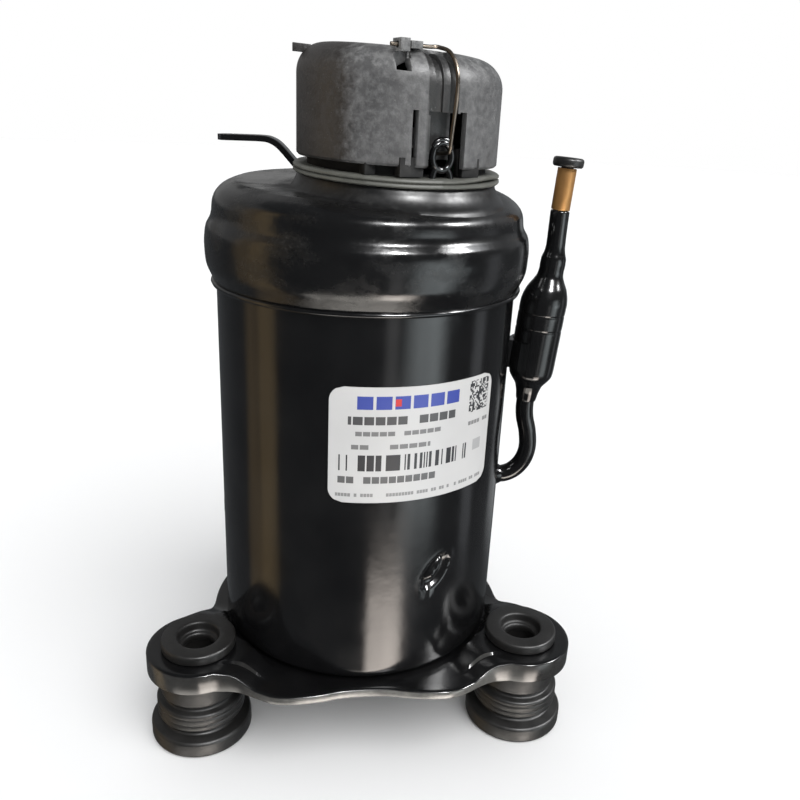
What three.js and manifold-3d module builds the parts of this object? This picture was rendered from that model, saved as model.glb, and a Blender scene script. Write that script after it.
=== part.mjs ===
// Hermetic rotary compressor: a drawn steel can on a three-foot plate, with a rolling-piston
// pump and an induction motor inside it. Millimetres, Z up. The origin is on the shell's axis
// at the underside of the base plate. An azimuth of 0 looks along -Y (the front), +90 along +X.
import * as THREE from 'three';
import { mergeVertices } from 'three/addons/utils/BufferGeometryUtils.js';
import Module from 'manifold-3d';

const wasm = await Module();
wasm.setup();

const DEG = Math.PI / 180;
const GAP = 0.3; // clearance between neighbouring pieces

// ---------------------------------------------------------------- dimensions
const SHELL = { r: 50.5, wall: 2.8, foot: 3.3, corner: 3.2, top: 143.5, seam: 131.3 };
const SHELL_IN = SHELL.r - SHELL.wall;
// A pressed plate: 3 mm at the middle, raised to 7.5 mm round each foot.
const PLATE = { low: 3, high: 7.5, foot_pcd: 133, lobe: 17.8, body: 55.5, blend: 20, hole: 9.2, pocket: 14.6, pocket_top: 4.5 };
const FOOT_AZ = [-60, 60, 180];
const WELD_AZ = [26.4, 146.4, -93.6]; // plug welds that hold the pump
const WELD = { z: 42.3, r: 4.2 };
const CAP_TOP = 162.3;
const BOSS = { x: 7.4, y: -11.1, r: 31.4, top: 167.0 }; // raised seat of the terminal cover
const NOSE_AZ = 21; // the terminal cover's notch faces this way
const COVER = { r: 31.3, wall: 2.2, bottom: 171.8, top: 203.0, round: 8.5 };
const BAIL = { y: -25.5, z: 202.3, wire: 0.55 }; // the bail's pivot, in the cover's own axes
const EYE = { y: -28.3, z: 173.6, hole: 2.5, r: 3.9 };
const SUCTION_AZ = 85.75;
const PORT_Z = 58.5;
const VANE_AZ = 110;
const THROW = 3.3; // crank eccentricity
const PUMP = { bore: 19.8, roller: 16, z0: 46.5, z1: 70.5, r: 44 };
const SHAFT = 7.4;
const STATOR = { r: 47.2, bore: 27.1, z0: 98, z1: 142, slots: 18 };
const ROTOR = { r: 26.3, z0: 99, z1: 141 };

// ---------------------------------------------------------------- solids
// A three.js geometry as a closed solid that faces outwards.
function solid(geometry) {
  const g = geometry.index ? geometry.toNonIndexed() : geometry.clone();
  for (const name of Object.keys(g.attributes)) if (name !== 'position') g.deleteAttribute(name);
  const m = mergeVertices(g, 1e-4);
  const p = m.attributes.position.array;
  const keep = [];
  const a = m.index.array;
  for (let i = 0; i < a.length; i += 3)
    if (a[i] !== a[i + 1] && a[i + 1] !== a[i + 2] && a[i] !== a[i + 2]) keep.push(a[i], a[i + 1], a[i + 2]);
  const build = (tri) => new wasm.Manifold(new wasm.Mesh({ numProp: 3, vertProperties: p, triVerts: new Uint32Array(tri) }));
  const made = build(keep);
  if (made.volume() > 0) return made;
  for (let i = 0; i < keep.length; i += 3) [keep[i + 1], keep[i + 2]] = [keep[i + 2], keep[i + 1]];
  return build(keep);
}

const moved = (s, x = 0, y = 0, z = 0) => s.translate([x, y, z]);
const turned = (s, az) => s.rotate([0, 0, az]);
const join = (...list) => list.reduce((a, b) => a.add(b));
const cut = (a, ...list) => list.reduce((s, b) => s.subtract(b), a);

// Turned about Z from [radius, height] pairs; a profile that starts off the axis closes on itself.
function lathe(pairs, segments = 32) {
  const closed = pairs[0][0] > 1e-6 ? [...pairs, pairs[0]] : pairs;
  const g = new THREE.LatheGeometry(closed.map(([r, z]) => new THREE.Vector2(Math.max(r, 0), z)), segments);
  return solid(g.rotateX(Math.PI / 2));
}
const rod = (r, z0, z1, segments = 24) => lathe([[0, z0], [r, z0], [r, z1], [0, z1]], segments);
const ring = (r0, r1, z0, z1, segments = 32) => lathe([[r0, z0], [r1, z0], [r1, z1], [r0, z1]], segments);
const box = (x0, x1, y0, y1, z0, z1) =>
  solid(new THREE.BoxGeometry(x1 - x0, y1 - y0, z1 - z0).translate((x0 + x1) / 2, (y0 + y1) / 2, (z0 + z1) / 2));
const slab = (shape, z0, z1, curveSegments = 12) =>
  solid(new THREE.ExtrudeGeometry(shape, { depth: z1 - z0, bevelEnabled: false, curveSegments }).translate(0, 0, z0));

// A rod between two points.
function bar(from, to, r, segments = 16) {
  const a = new THREE.Vector3(...from), b = new THREE.Vector3(...to);
  const g = new THREE.CylinderGeometry(r, r, a.distanceTo(b), segments);
  g.applyQuaternion(new THREE.Quaternion().setFromUnitVectors(new THREE.Vector3(0, 1, 0), b.clone().sub(a).normalize()));
  return solid(g.translate((a.x + b.x) / 2, (a.y + b.y) / 2, (a.z + b.z) / 2));
}

// A round tube, or a solid round bar when inner is 0, along a smooth line through the points.
function tube(points, outer, inner = 0, steps = 24, sides = 12) {
  const path = new THREE.CatmullRomCurve3(points.map((p) => new THREE.Vector3(...p)), false, 'centripetal');
  const shape = new THREE.Shape(new THREE.Path().absarc(0, 0, outer, 0, 2 * Math.PI, false).getPoints(sides / 2));
  if (inner) shape.holes.push(new THREE.Path(new THREE.Path().absarc(0, 0, inner, 0, 2 * Math.PI, true).getPoints(sides / 2)));
  return solid(new THREE.ExtrudeGeometry(shape, { steps, extrudePath: path, bevelEnabled: false }));
}

const root = new THREE.Group();
function add(name, s, color) {
  const m = s.getMesh();
  const g = new THREE.BufferGeometry();
  const flat = new Float32Array((m.vertProperties.length / m.numProp) * 3);
  for (let i = 0; i < flat.length / 3; i++)
    for (let k = 0; k < 3; k++) flat[3 * i + k] = m.vertProperties[i * m.numProp + k];
  g.setAttribute('position', new THREE.BufferAttribute(flat, 3));
  g.setIndex(new THREE.BufferAttribute(new Uint32Array(m.triVerts), 1));
  g.computeVertexNormals();
  const mesh = new THREE.Mesh(g, new THREE.MeshStandardMaterial({ color }));
  mesh.name = name;
  root.add(mesh);
}
const polar = (az, r, z = 0) => [r * Math.sin(az * DEG), -r * Math.cos(az * DEG), z];
const BLACK = 0x17181a, STEEL = 0x9aa0a6, IRON = 0x5b5e60, RUBBER = 0x2a2a2b, COPPER = 0xb87333, PLASTIC = 0x4a4c4e;

// ---------------------------------------------------------------- shell and cap
{
  const c = SHELL.corner, f = SHELL.foot, outer = [], inner = [];
  for (let i = 0; i <= 3; i++) {
    const a = (i / 3) * 90 * DEG;
    outer.push([SHELL.r - c + c * Math.sin(a), f + c - c * Math.cos(a)]);
    inner.push([SHELL.r - c + (c - SHELL.wall) * Math.sin(a), f + c - (c - SHELL.wall) * Math.cos(a)]);
  }
  let can = lathe([[0, f], ...outer, [SHELL.r, SHELL.top], [SHELL_IN, SHELL.top], ...inner.reverse(), [0, f + SHELL.wall]]);
  can = cut(can, ...WELD_AZ.map((az) => bar(polar(az, 40, WELD.z), polar(az, 60, WELD.z), WELD.r, 12)));
  can = cut(can, bar(polar(SUCTION_AZ, 40, PORT_Z), polar(SUCTION_AZ, 60, PORT_Z), 3.6, 16));
  add('shell_body', can, BLACK);

  WELD_AZ.forEach((az, i) => {
    const plug = bar(polar(az, 47.5, WELD.z), polar(az, 50.3, WELD.z), WELD.r - GAP - 0.1, 12);
    const nugget = bar(polar(az, 49, WELD.z), polar(az, 51.0, WELD.z), 2.2, 8);
    add(`plug_weld_${i + 1}`, join(plug, nugget), BLACK);
  });
}
{
  const outside = [[50.9, 131.3], [51.5, 131.3], [52.5, 133.8], [53.4, 136.6], [53.8, 139.5], [53.5, 143], [52.3, 147],
    [51.8, 152], [49.6, 158.4], [44.5, CAP_TOP], [0, CAP_TOP]];
  const inside = [[0, CAP_TOP - 2.8], [43.8, CAP_TOP - 2.8], [48.6, 150.5], [49.6, 144.3], [50.9, 143.8]];
  let cap = lathe([...outside.reverse(), ...inside.reverse()].reverse());
  cap = join(cap, moved(rod(BOSS.r, 160, BOSS.top, 28), BOSS.x, BOSS.y));
  cap = cut(cap, moved(rod(BOSS.r - 2.8, 158, BOSS.top - 2.6, 28), BOSS.x, BOSS.y));
  cap = cut(cap, moved(rod(15.9, 155, 175, 20), BOSS.x, BOSS.y));
  cap = cut(cap, moved(rod(4.3, 150, 175, 16), 4.1, 29.8));
  add('top_cap', cap, BLACK);
  add('seam_weld', lathe([[50.9, 129.6], [51.6, 129.6], [52.3, 130.4], [52.2, 131.0], [50.9, 131.0]]), BLACK);
}

// ---------------------------------------------------------------- base plate and feet
// The plate's outline: a straight front edge with a shallow dip between two corners, a round lobe at each foot, round sides.
const FRONT_EDGE = [[0, -54.9], [8, -55.3], [14, -56.5], [20, -57.3], [26.5, -57.5], [31.5, -56.6], [35.5, -54.6], [39.5, -52.3], [43, -50.6], [46.2, -49.9]];
function plateOutline() {
  const D = PLATE.foot_pcd / 2, { body, lobe, blend } = PLATE;
  const side = Math.acos((D * D + (body + blend) ** 2 - (lobe + blend) ** 2) / (2 * D * (body + blend))) / DEG;
  const arc = (cx, cy, r, from, to, n) =>
    Array.from({ length: n + 1 }, (_, i) => [cx + r * Math.cos((from + ((to - from) * i) / n) * DEG), cy + r * Math.sin((from + ((to - from) * i) / n) * DEG)]);
  // From the middle of the front edge round the right foot to the middle of the back foot's lobe.
  const foot = polar(60, D), back = polar(180, D);
  const toSide = Math.atan2(polar(60 + side, body + blend)[1] - foot[1], polar(60 + side, body + blend)[0] - foot[0]) / DEG;
  const c1 = polar(60 + side, body + blend), c2 = polar(180 - side, body + blend);
  const toBack = Math.atan2(c2[1] - back[1], c2[0] - back[0]) / DEG;
  const half = [...FRONT_EDGE,
    ...arc(foot[0], foot[1], lobe, -114, toSide - 6, 10),
    ...arc(c1[0], c1[1], blend, toSide - 180, 60 + side - 90 - 180, 3),
    ...arc(0, 0, body, 60 + side - 90, 180 - side - 90, 8).slice(1, -1),
    ...arc(c2[0], c2[1], blend, 180 - side - 90 - 180, toBack - 180, 3),
    ...arc(back[0], back[1], lobe, toBack + 6, 90, 5)];
  return [...half, ...half.slice(1, -1).reverse().map(([x, y]) => [-x, y])];
}
const smooth = (t) => { const k = Math.min(Math.max(t, 0), 1); return k * k * (3 - 2 * k); };
function plateTop(x, y) {
  const near = Math.min(...FOOT_AZ.map((az) => Math.hypot(x - polar(az, PLATE.foot_pcd / 2)[0], y - polar(az, PLATE.foot_pcd / 2)[1])));
  return PLATE.low + (PLATE.high - PLATE.low) * smooth((29.5 - near) / 12);
}
{
  const line = plateOutline(), n = line.length;
  const inset = (d) => line.map(([x, y], i) => {
    const a = line[(i + n - 1) % n], b = line[(i + 1) % n], far = Math.hypot(b[0] - a[0], b[1] - a[1]);
    return [x - (d * (b[1] - a[1])) / far, y + (d * (b[0] - a[0])) / far];
  });
  const edge = inset(3.4);
  const scaled = (f) => edge.map(([x, y]) => [x * f, y * f]);
  const level = (pts, drop) => pts.map(([x, y], i) => [x, y, plateTop(...line[i]) - drop]);
  const on = (pts) => pts.map(([x, y]) => [x, y, plateTop(x, y)]);
  const rows = [line.map(([x, y]) => [x, y, 0]), level(line, 2.7), level(inset(0.5), 1.2), level(inset(1.6), 0.35), level(edge, 0), on(scaled(0.88)), on(scaled(0.76)), on(scaled(0.6))];
  const flat = rows.flat(), tri = [], last = (rows.length - 1) * n;
  flat.push([0, 0, 0], [0, 0, PLATE.low]);
  for (let r = 0; r < rows.length - 1; r++)
    for (let i = 0; i < n; i++) {
      const j = (i + 1) % n, a = r * n + i, b = r * n + j;
      tri.push(a, b, b + n, a, b + n, a + n);
    }
  for (let i = 0; i < n; i++) {
    const j = (i + 1) % n;
    tri.push(flat.length - 2, j, i, flat.length - 1, last + i, last + j);
  }
  const g = new THREE.BufferGeometry();
  g.setAttribute('position', new THREE.BufferAttribute(new Float32Array(flat.flat()), 3));
  g.setIndex(tri);
  let plate = cut(solid(g), rod(SHELL.r + GAP, PLATE.low, 20, 96)); // the seat of the shell
  for (const az of FOOT_AZ) {
    const [x, y] = polar(az, PLATE.foot_pcd / 2);
    plate = cut(plate, moved(rod(PLATE.pocket, -5, PLATE.pocket_top, 24), x, y), moved(rod(PLATE.hole, -5, 15, 20), x, y));
  }
  add('base_plate', plate, BLACK);
}
// One foot: a washer over the plate, a neck through it and a ribbed bush below.
const GROMMET = [[5.6, -27], [17.0, -27], [17.5, -26.3], [17.5, -21.4], [13.2, -20.3], [13.2, -18.9], [15.2, -18.2], [15.2, -11.8],
  [12.6, -11.0], [12.6, -9.8], [13.8, -9.0], [13.8, PLATE.pocket_top - GAP], [PLATE.hole - GAP, PLATE.pocket_top - GAP],
  [PLATE.hole - GAP, PLATE.high + GAP], [12.7, PLATE.high + GAP], [12.5, 10.4], [11.4, 11.2], [7.6, 11.0], [6.8, 7.6], [5.6, 6.8]];
['left', 'right', 'back'].forEach((side, i) =>
  add(`grommet_${side}`, moved(lathe(GROMMET, 18), ...polar(FOOT_AZ[i], PLATE.foot_pcd / 2)), RUBBER));

// ---------------------------------------------------------------- terminal cover and its bail
const onBoss = (s) => moved(turned(s, NOSE_AZ), BOSS.x, BOSS.y);
function coverProfile(r, top, round) {
  const pts = [[0, COVER.bottom - 2], [r, COVER.bottom - 2]];
  for (let i = 0; i <= 4; i++) {
    const a = (i / 4) * 90 * DEG;
    pts.push([r - round + round * Math.cos(a), top - round + round * Math.sin(a)]);
  }
  return [...pts, [0, top]];
}
{
  let cover = lathe(coverProfile(COVER.r, COVER.top, COVER.round), 30);
  const below = box(-60, 60, -60, 60, COVER.bottom - 10, COVER.bottom);
  const face = -COVER.r;
  cover = cut(cover, below);
  // Channel with two deeper grooves, from over the top down to the notch.
  cover = cut(cover, box(-6.6, 2.6, face - 3, face + 1.0, 184, 197), box(-4.4, -1.9, face - 3, face + 2.1, 184, 200), box(0.2, 2.6, face - 3, face + 2.1, 184, 200));
  cover = cut(cover, lathe(coverProfile(COVER.r - 2.9, COVER.top - 2.4, COVER.round - 1.5), 30));
  cover = join(cover, ring(26.4, COVER.r - 2.7, 169.8, 176, 30)); // inner lip over the gasket
  cover = cut(cover, box(-5.8, 5.8, face - 3, face + 9, COVER.bottom - 5, 187));
  cover = cut(cover, box(-10.6, -8.0, face - 3, face + 7, COVER.bottom - 5, 187));
  cover = cut(cover, box(-15.0, -11.2, face - 3, face + 5.6, 196.4, 200.2));
  cover = cut(cover, box(-8.6, 3.6, -45, BAIL.y + 1.1, 201.35, 210)); // relief under the bail
  // The lug that the bail turns in, and a small tab at the back.
  cover = join(cover, box(-15.2, -8.4, BAIL.y - 2.2, BAIL.y + 2.4, 200.6, 203.9));
  cover = cut(cover, bar([-22, BAIL.y, BAIL.z], [0, BAIL.y, BAIL.z], BAIL.wire + 0.4, 12));
  cover = join(cover, box(-5.6, 3.4, -24.4, -23.2, 174, 201.6)); // wall behind the notch
  cover = join(cover, turned(box(-2.6, 2.6, -33.8, -27, 199.6, 201.6).intersect(box(-60, 60, -60, 60, 0, 300)), -100 - NOSE_AZ));
  add('terminal_cover', onBoss(cover), PLASTIC);

  let gasket = ring(25, 32.2, BOSS.top + GAP, BOSS.top + 2.4, 28);
  gasket = cut(gasket, box(-5.6, 5.6, EYE.y - 1.6, EYE.y + 8, 160, 175));
  gasket = join(gasket, box(-7, 7, -33.2, -31, BOSS.top + GAP, BOSS.top + 2.4).intersect(rod(33.2, 160, 175, 48)));
  add('cover_gasket', onBoss(gasket), 0x6a6a60);

  // The eye: a strap bent up from the seat, with a hole for the bail's hook.
  const eye = new THREE.Shape();
  eye.moveTo(-EYE.r, 0).lineTo(EYE.r, 0).lineTo(EYE.r, EYE.z - BOSS.top).absarc(0, EYE.z - BOSS.top, EYE.r, 0, Math.PI, false);
  eye.holes.push(new THREE.Path().absarc(0, EYE.z - BOSS.top, EYE.hole, 0, 2 * Math.PI, true));
  const strap = solid(new THREE.ExtrudeGeometry(eye, { depth: 1.6, bevelEnabled: false, curveSegments: 8 }).rotateX(90 * DEG))
    .translate([0, EYE.y + 0.8, BOSS.top + GAP]);
  add('bail_eye', onBoss(join(strap, box(-EYE.r, EYE.r, EYE.y, EYE.y + 6.5, BOSS.top + GAP, BOSS.top + GAP + 1.6))), BLACK);

  const hook_z = EYE.z + 1.2, dy = EYE.y - BAIL.y, dz = hook_z - BAIL.z, far = Math.hypot(dy, dz);
  const in_y = -dz / far, in_z = dy / far; // the hook's tip follows the arc of the swing
  const wire = tube([[-16.2, BAIL.y, BAIL.z], [-10, BAIL.y, BAIL.z], [-4.6, BAIL.y, BAIL.z], [-1.8, BAIL.y - 0.8, BAIL.z],
    [0.2, BAIL.y - 3.9, BAIL.z - 1.4], [0.7, -32.7, 196.3], [0.6, -33.4, 190], [0.0, -33.4, 183], [-0.3, -33.3, 178.6],
    [0, EYE.y - 4.2 * in_y, hook_z - 4.2 * in_z + 0.35], [0, EYE.y - 2.6 * in_y, hook_z - 2.6 * in_z], [0, EYE.y + 2.8 * in_y, hook_z + 2.8 * in_z]],
    BAIL.wire, 0, 36, 6);
  add('cover_bail_wire', onBoss(wire), 0x8d7d68);
}

// ---------------------------------------------------------------- wiring bracket on the cap
{
  const line = [[-19.0, 163.9], [-22.6, 163.9], [-26.2, 168.3], [-30.9, 173.0], [-34.0, 174.8], [-51.2, 174.8]];
  const t = 0.9, up = [], down = [];
  line.forEach(([x, z], i) => {
    const a = line[Math.max(i - 1, 0)], b = line[Math.min(i + 1, line.length - 1)];
    const n = new THREE.Vector2(-(b[1] - a[1]), b[0] - a[0]).normalize();
    up.push(new THREE.Vector2(x - n.x * t, z - n.y * t));
    down.push(new THREE.Vector2(x + n.x * t, z + n.y * t));
  });
  const strip = new THREE.ExtrudeGeometry(new THREE.Shape([...up, ...down.reverse()]), { depth: 9, bevelEnabled: false }).rotateX(90 * DEG);
  let s = solid(strip).translate([0, 15.5, 0]);
  s = cut(s, bar([-46, 11, 160], [-46, 11, 190], 1.6, 12));
  add('wiring_bracket', turned(s, SUCTION_AZ - 90), BLACK);
}

// ---------------------------------------------------------------- suction line, in the plane of its port
const onSuction = (s) => turned(s, SUCTION_AZ - 90);
{
  const pipe = [[46.6, 0, PORT_Z], [50.5, 0, 58.4], [54.1, 0, 58.7], [57.6, 0, 60.6], [60.5, 0, 64.4], [61.8, 0, 69.6], [61.2, 0, 75.8],
    [59.6, 0, 82.0], [59.2, 0, 87.0], [59.56, 0, 92.0]];
  add('suction_elbow', onSuction(tube(pipe, 3.2, 2.4, 16, 10)), BLACK);
  const body = lathe([[3.5, -11], [4.0, -11], [4.4, -5.5], [5.4, -2.6], [7.3, -0.4], [7.8, 2.2], [8.1, 27.5], [7.4, 31], [5.2, 35.2], [4.3, 38],
    [4.3, 43], [3.5, 44.6], [3.2, 48], [3.2, 58.6], [2.4, 58.6], [2.4, 43.5], [3.4, 41.5], [3.4, 36.5], [7.0, 28.5], [6.9, 3], [3.5, -3.5]], 18);
  const lean = Math.atan2(4.2, 58.6) / DEG;
  const tilt = (s) => s.rotate([0, lean, 0]).translate([60.0, 0, 98.0]);
  add('suction_muffler', onSuction(tilt(body)), BLACK);
  add('suction_stub', onSuction(tilt(ring(2.35, 3.15, 58.9, 72.4, 16))), COPPER);
  add('suction_plug', onSuction(tilt(lathe([[0, 66.0], [1.7, 66.0], [2.0, 67.0], [2.0, 72.7], [4.6, 72.7], [5.1, 73.3], [5.1, 75.2], [4.7, 75.8], [0, 75.8]], 16))), RUBBER);
  // A saddle between the muffler and the shell.
  const saddle = join(ring(8.35, 9.3, 3, 13, 24).intersect(box(-20, -4.5, -20, 20, 0, 20)), cut(box(-12, -8.9, -3.2, 3.2, 3, 13), rod(8.6, 0, 20, 24)));
  add('muffler_clip', onSuction(cut(tilt(saddle), rod(SHELL.r + GAP, 90, 125, 96))), BLACK);
}
{
  const [x, y] = [4.1, 29.8];
  add('discharge_tube', moved(ring(3.1, 4.0, 153.2, 190, 14), x, y), COPPER);
  add('discharge_plug', moved(lathe([[0, 184], [2.4, 184], [2.8, 185], [2.8, 190.3], [5.6, 190.3], [5.9, 191], [5.9, 193], [5.4, 193.6], [0, 193.6]], 14), x, y), RUBBER);
}

// ---------------------------------------------------------------- rating label
{
  const r0 = SHELL.r + 0.12, r1 = SHELL.r + 0.34, a0 = -15.8, a1 = 49.8, n = 14, pts = [];
  for (let i = 0; i <= n; i++) pts.push(new THREE.Vector2(...polar(a0 + ((a1 - a0) * i) / n, r1 + 0.05)));
  for (let i = n; i >= 0; i--) pts.push(new THREE.Vector2(...polar(a0 + ((a1 - a0) * i) / n, r0 + 0.05)));
  let label = slab(new THREE.Shape(pts), 71, 109);
  add('rating_label', label, 0xe8e6df);
}

// ---------------------------------------------------------------- terminal and overload protector
const atTerminal = (s) => moved(s, BOSS.x, BOSS.y);
const PIN_AT = [90, 210, 330].map((a) => [6.4 * Math.cos(a * DEG), 6.4 * Math.sin(a * DEG)]);
{
  let cup = lathe([[0, 165.6], [12.8, 165.6], [12.8, 160.6], [15.6, 160.6], [15.6, 162.0], [14.4, 162.4], [14.4, 167.4], [0, 167.4]], 24);
  cup = cut(cup, ...PIN_AT.map(([x, y]) => moved(rod(2.6, 150, 180, 12), x, y)));
  add('terminal_body', atTerminal(cup), STEEL);
  PIN_AT.forEach(([x, y], i) => {
    add(`glass_bead_${i + 1}`, atTerminal(moved(ring(1.35, 2.35, 164.6, 168.4, 12), x, y)), 0x3d6a5a);
    add(`terminal_pin_${i + 1}`, atTerminal(moved(join(rod(1.1, 156.5, 176, 8), box(-1.6, 1.6, -0.4, 0.4, 170.5, 181)), x, y)), 0xb9bcbf);
    const [bx, by] = [BOSS.x + x, BOSS.y + y], out = Math.atan2(by, bx);
    const lead = [[bx, by, 156.2], [bx, by, 155.4], [bx * 0.9 + 3.2 * Math.cos(out), by * 0.9 + 3.2 * Math.sin(out), 154.6],
      [25 * Math.cos(out), 25 * Math.sin(out), 155.0], [33 * Math.cos(out), 33 * Math.sin(out), 154.6], [36 * Math.cos(out), 36 * Math.sin(out), 154.0]];
    add(`motor_lead_${i + 1}`, tube(lead, 0.9, 0, 12, 6), 0xc8c0a8);
  });
  const disc = lathe([[0, 183], [8.6, 183], [9, 183.6], [9, 192.4], [8.2, 193.4], [0, 193.4]], 24);
  add('overload_protector', atTerminal(moved(disc, -3, 9.5)), 0x2b2b2d);
  let clip = cut(box(-6.4, 0.4, 3, 16, 193.8, 194.6).add(box(-6.4, 0.4, 15.4 + 3.6, 16.4 + 3.6, 169.6, 194.6)).add(box(-6.4, 0.4, 15, 20, 193.8, 194.6)), box(-4.4, -1.6, 18, 21, 174, 186));
  add('protector_clip', atTerminal(clip), STEEL);
  add('earth_screw', atTerminal(moved(join(rod(3.4, 169.6, 171.4, 6), rod(1.9, 167.1, 170, 12), rod(2.6, 171.0, 172.6, 12)), 19.5, 6).subtract(moved(box(-0.4, 0.4, -4, 4, 172.0, 173), 19.5, 6))), 0x3b7a57);
}

// ---------------------------------------------------------------- motor
{
  const pts = [], step = (2 * Math.PI) / STATOR.slots;
  const at = (r, a) => new THREE.Vector2(r * Math.cos(a), r * Math.sin(a));
  const hole = [];
  for (let i = 0; i < STATOR.slots; i++) {
    const a = i * step, open = 1.2 / STATOR.bore, w0 = 0.086, w1 = 0.095;
    hole.push(at(STATOR.bore, a - step / 2), at(STATOR.bore, a - open), at(29.2, a - w0), at(39.5, a - w1), at(39.5, a + w1), at(29.2, a + w0), at(STATOR.bore, a + open));
  }
  for (let i = 0; i < 30; i++) pts.push(at(STATOR.r, (i / 30) * 2 * Math.PI));
  const shape = new THREE.Shape(pts);
  shape.holes.push(new THREE.Path(hole));
  let core = slab(shape, STATOR.z0, STATOR.z1);
  for (let i = 0; i < 6; i++) core = cut(core, turned(box(45.2, 50, -6, 6, 90, 150), 30 + 60 * i)); // oil return flats
  add('stator_core', core, 0x6b6f73);
  const end = (z0, z1) => lathe([[30.2, z0], [41.5, z0], [43.5, z0 + 2.5], [43.5, z1 - 2.5], [41.5, z1], [30.2, z1]], 24);
  let winding = join(end(STATOR.z1 + GAP, 152.4), end(88.6, STATOR.z0 - GAP));
  for (let i = 0; i < STATOR.slots; i++) winding = winding.add(turned(box(30.4, 38.9, -2.2, 2.2, 95, 145), (i * 360) / STATOR.slots));
  add('stator_winding', winding, COPPER);

  let rotor = ring(SHAFT + GAP, ROTOR.r, ROTOR.z0, ROTOR.z1, 24);
  for (let i = 0; i < 6; i++) rotor = cut(rotor, turned(moved(rod(2.6, 90, 150, 8), 14), 60 * i + 30));
  add('rotor_core', rotor, 0x75797d);
  add('rotor_end_ring_upper', ring(18.5, 25.6, ROTOR.z1 + GAP, 145.6, 24), 0xc4c8cc);
  add('rotor_end_ring_lower', ring(18.5, 25.6, 94.6, ROTOR.z0 - GAP, 24), 0xc4c8cc);
  const half = (z0, z1, side) => ring(17.6, 25.2, z0, z1, 24).intersect(box(-30, 30, side > 0 ? 1 : -30, side > 0 ? 30 : -1, z0 - 1, z1 + 1));
  add('balance_weight_upper', turned(half(145.9, 151.2, -1), VANE_AZ - 90), 0x8a8d90);
  add('balance_weight_lower', turned(half(90.6, 94.3, 1), VANE_AZ - 90), 0x8a8d90);
}

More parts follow.
